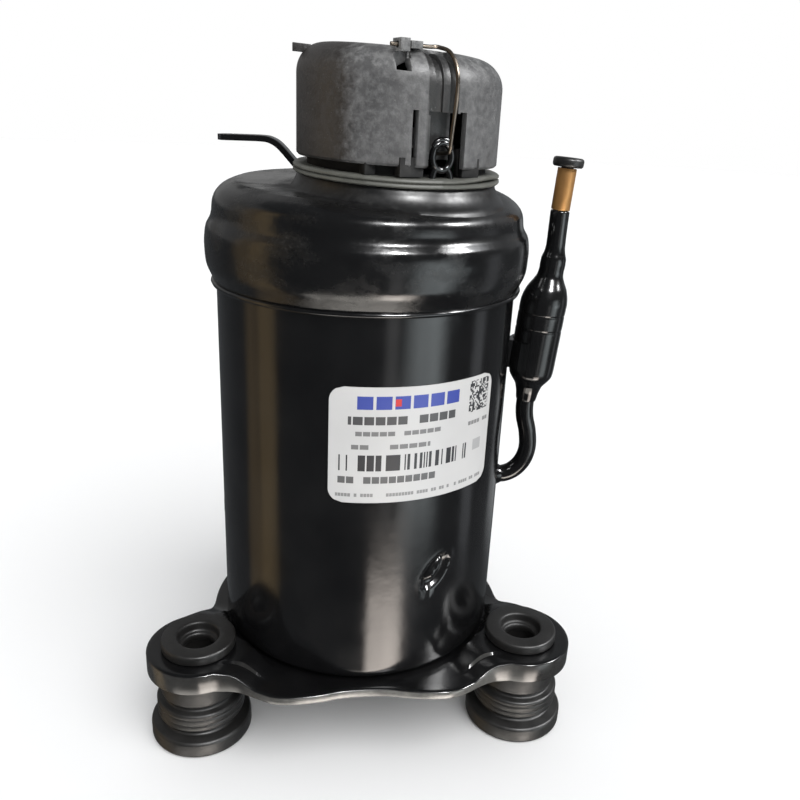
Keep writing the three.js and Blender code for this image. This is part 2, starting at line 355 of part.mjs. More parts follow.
// ---------------------------------------------------------------- pump, built with its vane along +X and then turned
const inPump = (s) => turned(s, VANE_AZ - 90);
const PORT_LOCAL = SUCTION_AZ - VANE_AZ;
{
  let crank = join(rod(SHAFT, 22, 151, 24), moved(rod(12.5, 47.4, 69.6, 32), 0, -THROW));
  crank = cut(crank, rod(2.6, 10, 80, 12), bar([0, 0, 60], [0, -20, 60], 1.4, 8));
  add('crankshaft', inPump(crank), STEEL);
  // Two crossed blades in the oil bore stand for the twisted strip that lifts the oil.
  add('oil_paddle', join(box(-2.1, 2.1, -0.35, 0.35, 25, 47), box(-0.35, 0.35, -2.1, 2.1, 45, 69)), STEEL);
  add('rolling_piston', inPump(moved(ring(12.9, PUMP.roller, PUMP.z0 + 0.35, PUMP.z1 - 0.35, 32), 0, -THROW)), 0x8f9498);

  const vane = new THREE.Shape();
  vane.moveTo(36.6, -1.6).lineTo(36.6, 1.6).lineTo(20.2, 1.6).lineTo(19.75, 0.8).lineTo(19.6, 0).lineTo(19.75, -0.8).lineTo(20.2, -1.6);
  add('vane', inPump(slab(vane, PUMP.z0 + 0.35, PUMP.z1 - 0.35)), 0xaab0b5);
  const turns = 4, coil = [];
  for (let i = 0; i <= turns * 8; i++) {
    const a = (i / 8) * 2 * Math.PI;
    coil.push([37.3 + (5.9 * i) / (turns * 8), 2.1 * Math.cos(a), PORT_Z + 2.1 * Math.sin(a)]);
  }
  add('vane_spring', inPump(tube(coil, 0.38, 0, turns * 8, 4)), STEEL);

  let cylinder = ring(PUMP.bore, PUMP.r, PUMP.z0, PUMP.z1, 32);
  cylinder = cut(cylinder, box(15, 36.9, -1.95, 1.95, 40, 80), bar([36.7, 0, PORT_Z], [50, 0, PORT_Z], 2.9, 16));
  cylinder = cut(cylinder, turned(bar([15, 0, PORT_Z], [50, 0, PORT_Z], 3.7, 16), PORT_LOCAL));
  for (const a of [40, 130, 200, 290]) cylinder = cut(cylinder, turned(moved(rod(2.9, 60, 80, 8), 32), a));
  for (let i = 0; i < 3; i++) cylinder = cut(cylinder, turned(moved(rod(5, 40, 80, 8), 36), 75 + 85 * i));
  add('cylinder', inPump(cylinder), IRON);

  let main = lathe([[SHAFT + GAP, PUMP.z1 + GAP], [35, PUMP.z1 + GAP], [35, 76.8], [13.2, 76.8], [12.6, 78], [12.6, 90.0], [SHAFT + GAP, 90.0]], 24);
  main = cut(main, turned(moved(rod(2.4, 60, 90, 16), 18.3), 17));
  for (const a of [40, 130, 200, 290]) main = cut(main, turned(moved(rod(2.9, 60, 90, 8), 32), a));
  main = cut(main, turned(moved(rod(1.7, 60, 90, 12), 20.5), 75));
  add('main_bearing', inPump(main), IRON);

  let sub = lathe([[SHAFT + GAP, 27], [12.6, 27], [12.6, 37.6], [14, 38.4], [47.1, 38.4], [47.1, PUMP.z0 - GAP], [SHAFT + GAP, PUMP.z0 - GAP]], 32);
  for (let i = 0; i < 6; i++) sub = cut(sub, turned(moved(rod(4.2, 30, 50, 8), 38), 25 + 60 * i));
  add('sub_bearing', inPump(sub), IRON);

  // Discharge valve on the main bearing: the reed's tip is over the port, its root is riveted.
  const tip = [18.3 * Math.cos(17 * DEG), 18.3 * Math.sin(17 * DEG)], tail = [20.5 * Math.cos(75 * DEG), 20.5 * Math.sin(75 * DEG)];
  const along = Math.atan2(tip[1] - tail[1], tip[0] - tail[0]) / DEG, len = Math.hypot(tip[0] - tail[0], tip[1] - tail[1]);
  const leaf = new THREE.Shape();
  leaf.absarc(0, 0, 3.4, 90 * DEG, 270 * DEG, false);
  leaf.lineTo(len - 3, -2.2).absarc(len, 0, 3.4, -130 * DEG, 130 * DEG, false).lineTo(len - 3, 2.2);
  leaf.holes.push(new THREE.Path().absarc(0, 0, 1.75, 0, 2 * Math.PI, true));
  const onReed = (s) => moved(turned(s, along), tail[0], tail[1]);
  add('discharge_valve_reed', inPump(onReed(slab(leaf, 77.0, 77.4, 8))), 0xb5babf);
  const rise = new THREE.Shape();
  rise.moveTo(-3.4, 77.7).lineTo(4, 77.7).lineTo(len + 2.5, 79.9).lineTo(len + 2.5, 81.6).lineTo(4, 79.4).lineTo(-3.4, 79.4);
  let stop = solid(new THREE.ExtrudeGeometry(rise, { depth: 6.4, bevelEnabled: false }).rotateX(90 * DEG)).translate([0, 3.2, 0]);
  stop = cut(stop, rod(1.75, 70, 85, 12));
  add('valve_stop', inPump(onReed(stop)), IRON);
  add('valve_rivet', inPump(onReed(join(rod(1.4, 72, 80, 12), lathe([[0, 79.7], [2.8, 79.7], [2.6, 80.8], [1.6, 81.4], [0, 81.4]], 12)))), STEEL);

  let dome = lathe([[26.4, 77.1], [34.6, 77.1], [34.6, 78.3], [27.7, 78.3], [27.0, 87.6], [25.6, 89.4], [14.2, 89.4], [14.2, 88.2], [25.6, 88.2]], 24);
  for (const a of [40, 130, 200, 290]) dome = cut(dome, turned(moved(rod(2.9, 70, 87, 8), 32), a));
  add('discharge_muffler', inPump(dome), 0x7c8084);
  [40, 130, 200, 290].forEach((a, i) => {
    const head = cut(rod(3.7, 78.6, 81.6, 10), rod(1.8, 80.0, 90, 6));
    add(`pump_screw_${i + 1}`, inPump(turned(moved(join(head, rod(2.3, 61, 79, 8)), 32), a)), 0x44474a);
  });
}

export default root;
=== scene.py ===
# Looks of the hermetic rotary compressor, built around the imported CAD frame.
# Lengths in the tables below are millimetres; everything is scaled to metres when a mesh is made.
import math
import random
from math import cos, hypot, pi, sin

import bmesh
import bpy
import numpy as np
from mathutils import Matrix, Vector


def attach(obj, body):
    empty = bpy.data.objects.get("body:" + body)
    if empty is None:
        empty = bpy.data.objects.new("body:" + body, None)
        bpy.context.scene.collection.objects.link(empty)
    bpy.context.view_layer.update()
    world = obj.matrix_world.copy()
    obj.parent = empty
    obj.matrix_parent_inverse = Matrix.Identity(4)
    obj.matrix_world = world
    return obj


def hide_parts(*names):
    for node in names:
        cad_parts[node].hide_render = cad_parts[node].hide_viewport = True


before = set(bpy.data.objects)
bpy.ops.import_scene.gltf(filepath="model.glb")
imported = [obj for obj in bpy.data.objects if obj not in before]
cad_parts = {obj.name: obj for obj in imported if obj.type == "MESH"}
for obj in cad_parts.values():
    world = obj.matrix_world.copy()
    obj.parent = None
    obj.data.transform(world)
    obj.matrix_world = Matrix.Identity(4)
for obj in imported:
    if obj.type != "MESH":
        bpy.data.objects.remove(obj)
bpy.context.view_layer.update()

MM = 0.001
CUT, ADD = "DIFFERENCE", "UNION"
rad = math.radians

# ---- camera
YAW, PITCH, ROLL = rad(7.09), rad(20.18), rad(2.70)
STANDS_AT = (-0.0200, -0.2690, 0.1860)
LENS, SENSOR = 35.55, 36.0
fw = Vector((sin(YAW) * cos(PITCH), cos(YAW) * cos(PITCH), -sin(PITCH)))
rt0 = Vector((cos(YAW), -sin(YAW), 0))
up0 = rt0.cross(fw)
rt = rt0 * cos(ROLL) + up0 * sin(ROLL)
up = up0 * cos(ROLL) - rt0 * sin(ROLL)
cam_data = bpy.data.cameras.new("camera")
cam_data.lens, cam_data.sensor_width = LENS, SENSOR
cam_data.clip_start = 0.01
camera = bpy.data.objects.new("camera", cam_data)
bpy.context.collection.objects.link(camera)
camera.matrix_world = Matrix.Translation(STANDS_AT) @ Matrix((rt, up, -fw)).transposed().to_4x4()
bpy.context.scene.camera = camera

# ---- dimensions
SHELL_R, SHELL_WALL, SHELL_FLOOR, SHELL_TOP = 50.5, 2.8, 3.3, 143.5
CORNER_R = 3.2
FOOT_AZ = {"left": -60, "right": 60, "back": 180}
FOOT_PR = 66.5  # from the axis to each foot
WELD_AZ, WELD_Z = (26.4, 146.4, -93.6), 42.3
BOSS, BOSS_TOP = (7.4, -11.1), 166.0  # the raised seat of the terminal cover
NOSE = 21.0  # the cover's notch faces this way, in degrees
COVER_R, COVER_BOTTOM, COVER_TOP, COVER_ROUND = 31.3, 171.8, 203.0, 8.5
BAIL_Y, BAIL_Z, WIRE_R = -25.5, 202.3, 0.55  # in the cover's own axes
EYE_Y, EYE_Z = -28.3, 173.6
SUCTION_TURN, PORT_Z = -4.25, 58.5
MUFFLER_X, MUFFLER_Z = 60.0, 98.0
LEAN = math.atan2(4.2, 58.6)  # the muffler leans outwards
DISCHARGE_AT = (4.1, 29.8)
FLOOR_Z = -27.0


# ---- mesh helpers
def mesh_of(name, verts, faces):
    me = bpy.data.meshes.new(name)
    me.from_pydata([tuple(c * MM for c in v) for v in verts], [], [tuple(f) for f in faces])
    return me


def object_of(name, me):
    ob = bpy.data.objects.new(name, me)
    bpy.context.collection.objects.link(ob)
    return ob


def link(name, verts, faces, replaces, smooth, material, body="housing"):
    """A mesh piece from points in mm. It rides on body and stands for the CAD nodes in replaces."""
    dress(name, mesh_of(name, verts, faces), replaces, smooth, material, body)


def dress(name, me, replaces, smooth, material, body="housing"):
    """The finished piece of a mesh, with edges sharper than smooth degrees kept sharp."""
    bm = bmesh.new()
    bm.from_mesh(me)
    bmesh.ops.remove_doubles(bm, verts=bm.verts, dist=1e-7)
    bmesh.ops.recalc_face_normals(bm, faces=bm.faces)
    bm.to_mesh(me)
    bm.free()
    for p in me.polygons:
        p.use_smooth = True
    me.set_sharp_from_angle(angle=rad(smooth))
    ob = object_of(name, me)
    me.materials.append(material)
    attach(ob, body)
    if replaces:
        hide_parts(*replaces)


def around(n):
    """n even angles round a circle, in radians."""
    return [2 * pi * k / n for k in range(n)]


def turn(points, degrees, dx=0.0, dy=0.0):
    """Points turned about Z and then moved."""
    c, s = cos(rad(degrees)), sin(rad(degrees))
    return [(x * c - y * s + dx, x * s + y * c + dy, z) for x, y, z in points]


def spline(points, per=6):
    """A smooth open Catmull-Rom line through points of two or three coordinates."""
    p = [np.array(q, float) for q in points]
    p = [2 * p[0] - p[1], *p, 2 * p[-1] - p[-2]]
    out = []
    for i in range(1, len(p) - 2):
        for k in range(per):
            t = k / per
            a, b, c, d = p[i - 1], p[i], p[i + 1], p[i + 2]
            bow, twist = 2 * a - 5 * b + 4 * c - d, 3 * b - a - 3 * c + d
            out.append(0.5 * (2 * b + (c - a) * t + bow * t * t + twist * t ** 3))
    out.append(p[-2])
    return [tuple(float(v) for v in q) for q in out]


def arc(cx, cy, r, a0, a1, n):
    """Points on a circle from the angle a0 to a1, in degrees."""
    angles = [rad(a0 + (a1 - a0) * i / n) for i in range(n + 1)]
    return [(cx + r * cos(a), cy + r * sin(a)) for a in angles]


def lathe(profile, segments=96, closed=False):
    """Points and faces of a profile of (radius, z) pairs turned about Z. A closed one comes back to its start."""
    verts, faces, rows = [], [], []
    for r, z in profile:
        if r < 1e-6:
            rows.append([len(verts)])
            verts.append((0.0, 0.0, z))
        else:
            rows.append(list(range(len(verts), len(verts) + segments)))
            verts += [(r * cos(a), r * sin(a), z) for a in around(segments)]
    pairs = list(zip(rows, rows[1:])) + ([(rows[-1], rows[0])] if closed else [])
    for a, b in pairs:
        for k in range(segments):
            n = (k + 1) % segments
            if len(a) == 1 and len(b) == 1:
                continue
            if len(a) == 1:
                faces.append((a[0], b[n], b[k]))
            elif len(b) == 1:
                faces.append((a[k], a[n], b[0]))
            else:
                faces.append((a[k], a[n], b[n], b[k]))
    return verts, faces


def rounded(profile, r, n):
    """The profile with each inner corner cut by a small arc-like blend."""
    out = [profile[0]]
    for a, b, c in zip(profile, profile[1:], profile[2:]):
        va, vc = Vector((a[0] - b[0], a[1] - b[1])), Vector((c[0] - b[0], c[1] - b[1]))
        k = min(r, va.length * 0.45, vc.length * 0.45)
        p, q = Vector(b) + va.normalized() * k, Vector(b) + vc.normalized() * k
        for i in range(n + 1):
            t = i / n
            m = p * (1 - t) ** 2 + Vector(b) * 2 * t * (1 - t) + q * t * t
            out.append((max(m.x, 0.0), m.y))
    out.append(profile[-1])
    return out


def closed_round(profile, r, n):
    return rounded([profile[-1], *profile, profile[0]], r, n)[1:-1]


def sweep(points, radius, sides):
    """Points and faces of a round bar along a line, kept from twisting. The radius may be a function of 0 to 1."""
    pts = [Vector(p) for p in points]
    verts, faces = [], []
    normal = None
    for i, p in enumerate(pts):
        t = (pts[min(i + 1, len(pts) - 1)] - pts[max(i - 1, 0)]).normalized()
        if normal is None:
            normal = t.cross(Vector((0, 1, 0)) if abs(t.y) < 0.9 else Vector((1, 0, 0))).normalized()
        normal = (normal - t * normal.dot(t)).normalized()
        b = t.cross(normal)
        r = radius(i / (len(pts) - 1)) if callable(radius) else radius
        verts += [tuple(p + (normal * cos(a) + b * sin(a)) * r) for a in around(sides)]
    for i in range(len(pts) - 1):
        for k in range(sides):
            n = (k + 1) % sides
            faces.append((i * sides + k, i * sides + n, (i + 1) * sides + n, (i + 1) * sides + k))
    faces.append(tuple(range(sides))[::-1])
    faces.append(tuple((len(pts) - 1) * sides + k for k in range(sides)))
    return verts, faces


def merge(*parts):
    """One list of points and one of faces from several (points, faces) pairs."""
    verts, faces = [], []
    for v, f in parts:
        faces += [tuple(i + len(verts) for i in face) for face in f]
        verts += v
    return verts, faces


def loop_faces(n, m):
    """Faces of a closed loop of n sections with m points each."""
    return [(i * m + s, (i + 1) % n * m + s, (i + 1) % n * m + (s + 1) % m, i * m + (s + 1) % m)
            for i in range(n) for s in range(m)]


def block(x0, x1, y0, y1, z0, z1):
    v = [(x, y, z) for z in (z0, z1) for y in (y0, y1) for x in (x0, x1)]
    return v, [(0, 2, 3, 1), (4, 5, 7, 6), (0, 1, 5, 4), (2, 6, 7, 3), (0, 4, 6, 2), (1, 3, 7, 5)]


def scratch(verts, faces):
    """A solid for carve(), which uses it up."""
    me = mesh_of("tool", verts, faces)
    bm = bmesh.new()
    bm.from_mesh(me)
    bmesh.ops.recalc_face_normals(bm, faces=bm.faces)
    bm.to_mesh(me)
    bm.free()
    return object_of("tool", me)


def bend(me, height):
    """Gives each point of a mesh the height that a rule in mm says."""
    for v in me.vertices:
        v.co.z = height(v.co.x / MM, v.co.y / MM, v.co.z / MM) * MM


def carve(base, tools, bevel=0.0, bevel_angle=40):
    """The mesh of base after the (operation, tool) pairs, and then a small bevel of its sharp edges."""
    for kind, tool in tools:
        m = base.modifiers.new("carve", "BOOLEAN")
        m.operation, m.object, m.solver = kind, tool, "EXACT"
    if bevel:
        m = base.modifiers.new("edge", "BEVEL")
        m.width, m.segments, m.limit_method, m.angle_limit = bevel * MM, 2, "ANGLE", rad(bevel_angle)
    me = bpy.data.meshes.new_from_object(base.evaluated_get(bpy.context.evaluated_depsgraph_get()))
    for ob in [base] + [t for _, t in tools]:
        old = ob.data
        bpy.data.objects.remove(ob)
        bpy.data.meshes.remove(old)
    return me


# ---- materials
class Nodes:
    """A short way to write the node tree of a material or the world."""

    def __init__(self, owner, space):
        owner.use_nodes = True
        self.tree = owner.node_tree
        self.tree.nodes.clear()
        self.coord = self.node("TexCoord").outputs
        self.place = self.coord[space]

    def to(self, a, b):
        self.tree.links.new(a, b)

    def node(self, kind):
        return self.tree.nodes.new("ShaderNode" + kind)

    def give(self, socket, value):
        """Feeds a socket a number, a colour or another node's output."""
        if isinstance(value, tuple):
            socket.default_value = (*value, 1)
        elif isinstance(value, (int, float)):
            socket.default_value = value
        elif value is not None:
            self.to(value, socket)

    def make(self, kind, *inputs, **settings):
        """The first output of a new node with these inputs."""
        node = self.node(kind)
        for key, value in settings.items():
            setattr(node, key, value)
        for socket, value in zip(node.inputs, inputs):
            self.give(socket, value)
        return node.outputs[0]

    def math(self, kind, *inputs):
        return self.make("Math", *inputs, operation=kind)

    def times(self, a, b):
        return self.math("MULTIPLY", a, b)

    def plus(self, a, b):
        return self.math("ADD", a, b)

    def split(self, vector):
        """The three parts of a vector."""
        node = self.node("SeparateXYZ")
        self.to(vector, node.inputs[0])
        return node.outputs

    def vector(self, kind, source, value):
        node = self.node("VectorMath")
        node.operation = kind
        node.inputs[1].default_value = value
        self.to(source, node.inputs[0])
        return node.outputs["Value" if kind == "DISTANCE" else "Vector"]

    def noise(self, scale, detail=3.0, rough=0.5, stretch=None, distortion=0.0):
        n = self.node("TexNoise")
        for key, value in (("Scale", scale), ("Detail", detail), ("Roughness", rough), ("Distortion", distortion)):
            n.inputs[key].default_value = value
        source = self.place
        if stretch:
            m = self.node("Mapping")
            m.inputs["Scale"].default_value = stretch
            self.to(source, m.inputs[0])
            source = m.outputs[0]
        self.to(source, n.inputs["Vector"])
        return n.outputs["Fac"]

    def ramp(self, fac, stops):
        """A straight-line ramp through (position, grey or colour) stops."""
        r = self.node("ValToRGB")
        e = r.color_ramp.elements
        while len(e) < len(stops):
            e.new(0.5)
        for item, (at, c) in zip(e, stops):
            item.position = at
            item.color = (c, c, c, 1) if isinstance(c, (int, float)) else (*c, 1)
        self.to(fac, r.inputs[0])
        return r.outputs[0]

    def mix(self, fac, a, b, kind="MIX"):
        m = self.node("Mix")
        m.data_type, m.blend_type, m.clamp_factor = "RGBA", kind, kind == "MIX"
        for k, value in ((0, fac), (6, a), (7, b)):
            self.give(m.inputs[k], value)
        return m.outputs[2]


class Material(Nodes):
    """A material with one principled shader."""

    def __init__(self, name):
        self.mat = bpy.data.materials.new(name)
        super().__init__(self.mat, "Object")
        self.bsdf = self.node("BsdfPrincipled")
        self.to(self.bsdf.outputs[0], self.node("OutputMaterial").inputs[0])

    def set(self, **values):
        for key, value in values.items():
            self.bsdf.inputs[key.replace("_", " ")].default_value = value

    def bump(self, height, strength, distance):
        b = self.node("Bump")
        for key, value in (("Strength", strength), ("Distance", distance), ("Height", height)):
            self.give(b.inputs[key], value)
        self.to(b.outputs[0], self.bsdf.inputs["Normal"])

    def color(self, source):
        self.to(source, self.bsdf.inputs["Base Color"])

    def rough(self, source):
        self.to(source, self.bsdf.inputs["Roughness"])


def enamel(name="enamel", scuff=0.0, dust=0.0, front_sheen=0.0, seat=0.0):
    """Glossy black paint: an orange peel, smears that dull the gloss here and there, and dust; for the plate, also a
    painted reflection that lightens its front edge.
    """
    n = Material(name)
    n.set(Metallic=0.0, IOR=1.5)
    paint = n.ramp(n.noise(55, 4), [(0.3, (0.0034, 0.0034, 0.0038)), (0.7, (0.0075, 0.0075, 0.0078))])
    cloud = n.noise(60, 6, 0.65, stretch=(1, 1, 1.8))
    grains = n.ramp(n.noise(900, 4, 0.7), [(0.5, 0.0), (0.72, 1.0)])
    grit = n.times(grains, n.ramp(cloud, [(0.46, 0.0), (0.70, 0.16 * dust)]))
    color = n.mix(grit, paint, (0.20, 0.19, 0.175))
    if front_sheen:  # painted reflection: the upright faces of the plate's front edge are lightened as if lit, most at the front middle
        face = n.split(n.node("NewGeometry").outputs["Normal"])
        upright = n.ramp(n.math("ABSOLUTE", face[2]), [(0.3, 1.0), (0.75, 0.0)])
        reach = n.vector("DISTANCE", n.place, (0.008, -0.058, 0.002))
        upright = n.times(upright, n.ramp(reach, [(0.024, 1.0), (0.05, 0.15)]))
        patchy = n.ramp(n.noise(120, 5, 0.65), [(0.3, 0.3 * front_sheen), (0.7, front_sheen)])
        color = n.mix(n.times(upright, patchy), color, (0.33, 0.32, 0.295))
    n.color(color)
    smear = n.noise(30, 6, 0.62, stretch=(1, 1, 0.5))
    fine = n.noise(170, 4, 0.6)
    worn = n.ramp(smear, [(0.40, 0.085 + scuff), (0.58, 0.15 + scuff), (0.75, 0.26 + scuff)])
    dusty = n.times(n.ramp(cloud, [(0.47, 0.0), (0.64, 1.0)]), 0.26 * dust)
    gloss = n.plus(n.plus(worn, n.times(fine, 0.05)), dusty)
    if seat:  # the paint is rubbed dull on the flank of the cover's seat
        flat = n.vector("MULTIPLY", n.place, (1, 1, 0))
        away = n.vector("DISTANCE", flat, (BOSS[0] * MM, BOSS[1] * MM, 0))
        dull = n.ramp(away, [(0.029, 0.0), (0.0305, seat), (0.0345, seat), (0.038, 0.0)])
        gloss = n.plus(gloss, dull)
    n.rough(gloss)
    peel = n.plus(n.times(n.noise(330, 3, 0.6), 0.10 + 0.3 * dust), n.times(n.noise(95, 3), 0.9))
    n.bump(peel, 0.16 + 0.14 * dust, 0.0004)
    return n.mat


def rubber(name, base, rough, dust):
    """Dull rubber with a pale bloom in patches."""
    n = Material(name)
    n.set(Specular_IOR_Level=0.5)
    light = tuple(c * 1.8 + 0.010 for c in base)
    n.color(n.mix(n.ramp(n.noise(90, 6, 0.65), [(0.42, 0.0), (0.72, dust)]), base, light))
    n.rough(n.ramp(n.noise(160, 4), [(0.3, rough - 0.14), (0.7, rough + 0.06)]))
    n.bump(n.noise(900, 3), 0.14, 0.0004)
    return n.mat


def plain(name, base, rough, metallic=0.0, vary=0.25, grain=(1, 1, 1), scale=200, bump=0.08, coat=0.0):
    """A metal or plastic whose colour and gloss wander a little, with grain along one direction if stretched."""
    n = Material(name)
    n.set(Metallic=metallic, Coat_Weight=coat)
    dark, light = tuple(c * (1 - vary) for c in base), tuple(min(c * (1 + vary), 1.0) for c in base)
    n.color(n.ramp(n.noise(scale * 0.4, 5, 0.6), [(0.3, dark), (0.7, light)]))
    n.rough(n.ramp(n.noise(scale, 3, 0.5, stretch=grain), [(0.3, max(rough - 0.1, 0.03)), (0.7, rough + 0.12)]))
    n.bump(n.noise(scale * 3, 2, 0.5, stretch=grain), bump, 0.0003)
    return n.mat


def cover_plastic():
    """Dusty black plastic: clouds and fine specks of grey, with painted shade that makes the left side browner and
    darker, and painted shadow in the groove down the nose.
    """
    n = Material("cover_plastic")
    n.set(Specular_IOR_Level=0.45)
    cloud = n.noise(45, 6, 0.65, distortion=0.5)
    fine = n.noise(420, 6, 0.68)
    speck = n.noise(1500, 3, 0.6)
    base = n.mix(n.ramp(cloud, [(0.30, 0.0), (0.72, 1.0)]), (0.062, 0.062, 0.063), (0.125, 0.125, 0.126))
    base = n.mix(n.ramp(fine, [(0.42, 0.0), (0.68, 0.62)]), base, (0.19, 0.19, 0.19))
    place = n.split(n.place)
    # dust lies on the top
    above = n.math("GREATER_THAN", n.plus(place[2], n.times(fine, 0.012)), 0.2035)
    dust = n.times(n.ramp(fine, [(0.45, 0.0), (0.6, 1.0)]), n.times(above, 0.25))
    base = n.mix(dust, base, (0.26, 0.26, 0.255))
    east, north = (n.math("SUBTRACT", place[k], BOSS[k] * MM) for k in (0, 1))

    def along(degrees):
        """The distance from the cover's axis towards this direction."""
        return n.plus(n.times(east, cos(rad(degrees))),
                      n.times(north, sin(rad(degrees))))

    # painted shade: the left side is made darker and browner, as if shaded and reflecting a brown wall
    edge = n.plus(n.times(along(-33), 1000.0), n.times(n.plus(cloud, fine), 6.0))
    base = n.mix(n.make("MapRange", edge, 9.0, 2.5, 0.0, 0.80), base, (0.012, 0.0085, 0.0065))
    # painted shadow: the groove down the nose is darkened as if in shade
    groove_shadow = n.ramp(n.math("MULTIPLY_ADD", along(NOSE), 25.0, 0.5),
                     [(0.325, 0.0), (0.345, 0.95), (0.40, 0.95), (0.44, 0.75),
                      (0.49, 0.75), (0.52, 0.95), (0.555, 0.95), (0.575, 0.0)])
    ahead = n.ramp(n.times(along(NOSE - 90), 20.0), [(0.38, 0.0), (0.46, 1.0)])
    base = n.mix(n.times(groove_shadow, ahead), base, (0.010, 0.0095, 0.009))
    n.color(n.mix(n.ramp(speck, [(0.66, 0.0), (0.80, 0.5)]), base, (0.30, 0.30, 0.29)))
    n.rough(n.ramp(fine, [(0.3, 0.34), (0.7, 0.56)]))
    n.bump(n.plus(n.times(n.noise(900, 3, 0.6), 0.6), fine), 0.28, 0.0005)
    return n.mat


def label_mat():
    """Off-white film with a printed layout of plain bars and blocks, placed by the label's UV."""
    n = Material("label_film")
    n.set(Coat_Weight=0.25, Coat_Roughness=0.25)
    u, v, _ = n.split(n.coord["UV"])

    def band(x, lo, hi):
        return n.times(n.math("GREATER_THAN", x, lo), n.math("LESS_THAN", x, hi))

    def rect(u0, u1, v0, v1):
        return n.times(band(u, u0, u1), band(v, v0, v1))

    def cells(across, down, seed):
        """A random value for each cell of a grid, or of a row where down is 0."""
        row = n.math("FLOOR", n.times(v, down)) if down else None
        cell = n.make("CombineXYZ", n.math("FLOOR", n.times(u, across)), row, seed)
        return n.make("TexWhiteNoise", cell, noise_dimensions="3D")

    paper = n.mix(n.ramp(n.noise(40, 5), [(0.3, 0.0), (0.7, 1.0)]), (0.57, 0.565, 0.56), (0.63, 0.625, 0.615))
    ink, blue = (0.02, 0.02, 0.024), (0.035, 0.06, 0.33)
    stripe = n.math("GREATER_THAN", n.math("FRACT", n.times(n.math("SUBTRACT", u, 0.13), 10.17)), 0.16)
    color = n.mix(n.times(rect(0.13, 0.72, 0.815, 0.925), stripe), paper, blue)
    color = n.mix(rect(0.344, 0.376, 0.84, 0.90), color, (0.55, 0.03, 0.03))

    def words(u0, u1, v0, v1, across, seed, thick):
        """A row of short bars in groups, where a line of print would be."""
        word = n.math("GREATER_THAN", cells(across, 0, seed), 0.22)
        gap = n.math("GREATER_THAN", n.math("FRACT", n.times(u, across)), 0.14)
        return n.times(rect(u0, u1, v0, v1), n.times(n.times(word, gap), thick))

    for args in ((0.10, 0.70, 0.685, 0.755, 17, 1.5, 0.92), (0.14, 0.64, 0.590, 0.628, 23, 2.5, 0.72),
                 (0.12, 0.55, 0.475, 0.515, 19, 3.5, 0.72), (0.80, 0.98, 0.575, 0.610, 40, 8.5, 0.65),
                 (0.05, 0.60, 0.175, 0.235, 22, 4.5, 0.85), (0.04, 0.96, 0.055, 0.085, 58, 5.5, 0.6)):
        color = n.mix(words(*args), color, ink)
    bars = n.times(rect(0.05, 0.80, 0.285, 0.425), n.math("GREATER_THAN", cells(128, 0, 6.5), 0.47))
    color = n.mix(bars, color, ink)
    matrix = n.times(rect(0.80, 0.965, 0.69, 0.965), n.math("GREATER_THAN", cells(104, 70, 7.5), 0.46))
    color = n.mix(matrix, color, ink)
    color = n.mix(n.times(rect(0.855, 0.925, 0.33, 0.43), 0.55), color, (0.25, 0.25, 0.26))
    n.color(color)
    n.rough(n.ramp(n.noise(120, 4), [(0.3, 0.34), (0.7, 0.48)]))
    n.bump(n.noise(500, 2), 0.05, 0.0003)
    return n.mat


ENAMEL = enamel()
# the last number is the strength of the painted reflection on the plate's front edge
ENAMEL_PLATE = enamel("enamel_plate", 0.04, 0.2, 0.75)
ENAMEL_CAP = enamel("enamel_cap", 0.03, 0.75, seat=0.19)
RUBBER = rubber("foot_rubber", (0.011, 0.0105, 0.0100), 0.50, 0.45)
PLUG_RUBBER = rubber("plug_rubber", (0.010, 0.010, 0.010), 0.42, 0.2)
COVER = cover_plastic()
# painted shade: near-black plastic for the lip under the cover, dark as if in shadow
LIP_SHADE = plain("lip_painted_shade", (0.003, 0.003, 0.003), 0.85, 0.0, 0.3)
GASKET = rubber("gasket_rubber", (0.100, 0.101, 0.088), 0.55, 0.5)
WIRE = plain("spring_wire", (0.17, 0.145, 0.12), 0.34, 1.0, 0.35, scale=300)
COPPER = plain("copper_tube", (0.42, 0.215, 0.07), 0.38, 0.55, 0.16, grain=(1, 1, 0.08), scale=260, bump=0.05)
LABEL = label_mat()


def numbered(name, last):
    return [f"{name}_{k}" for k in range(1, last + 1)]


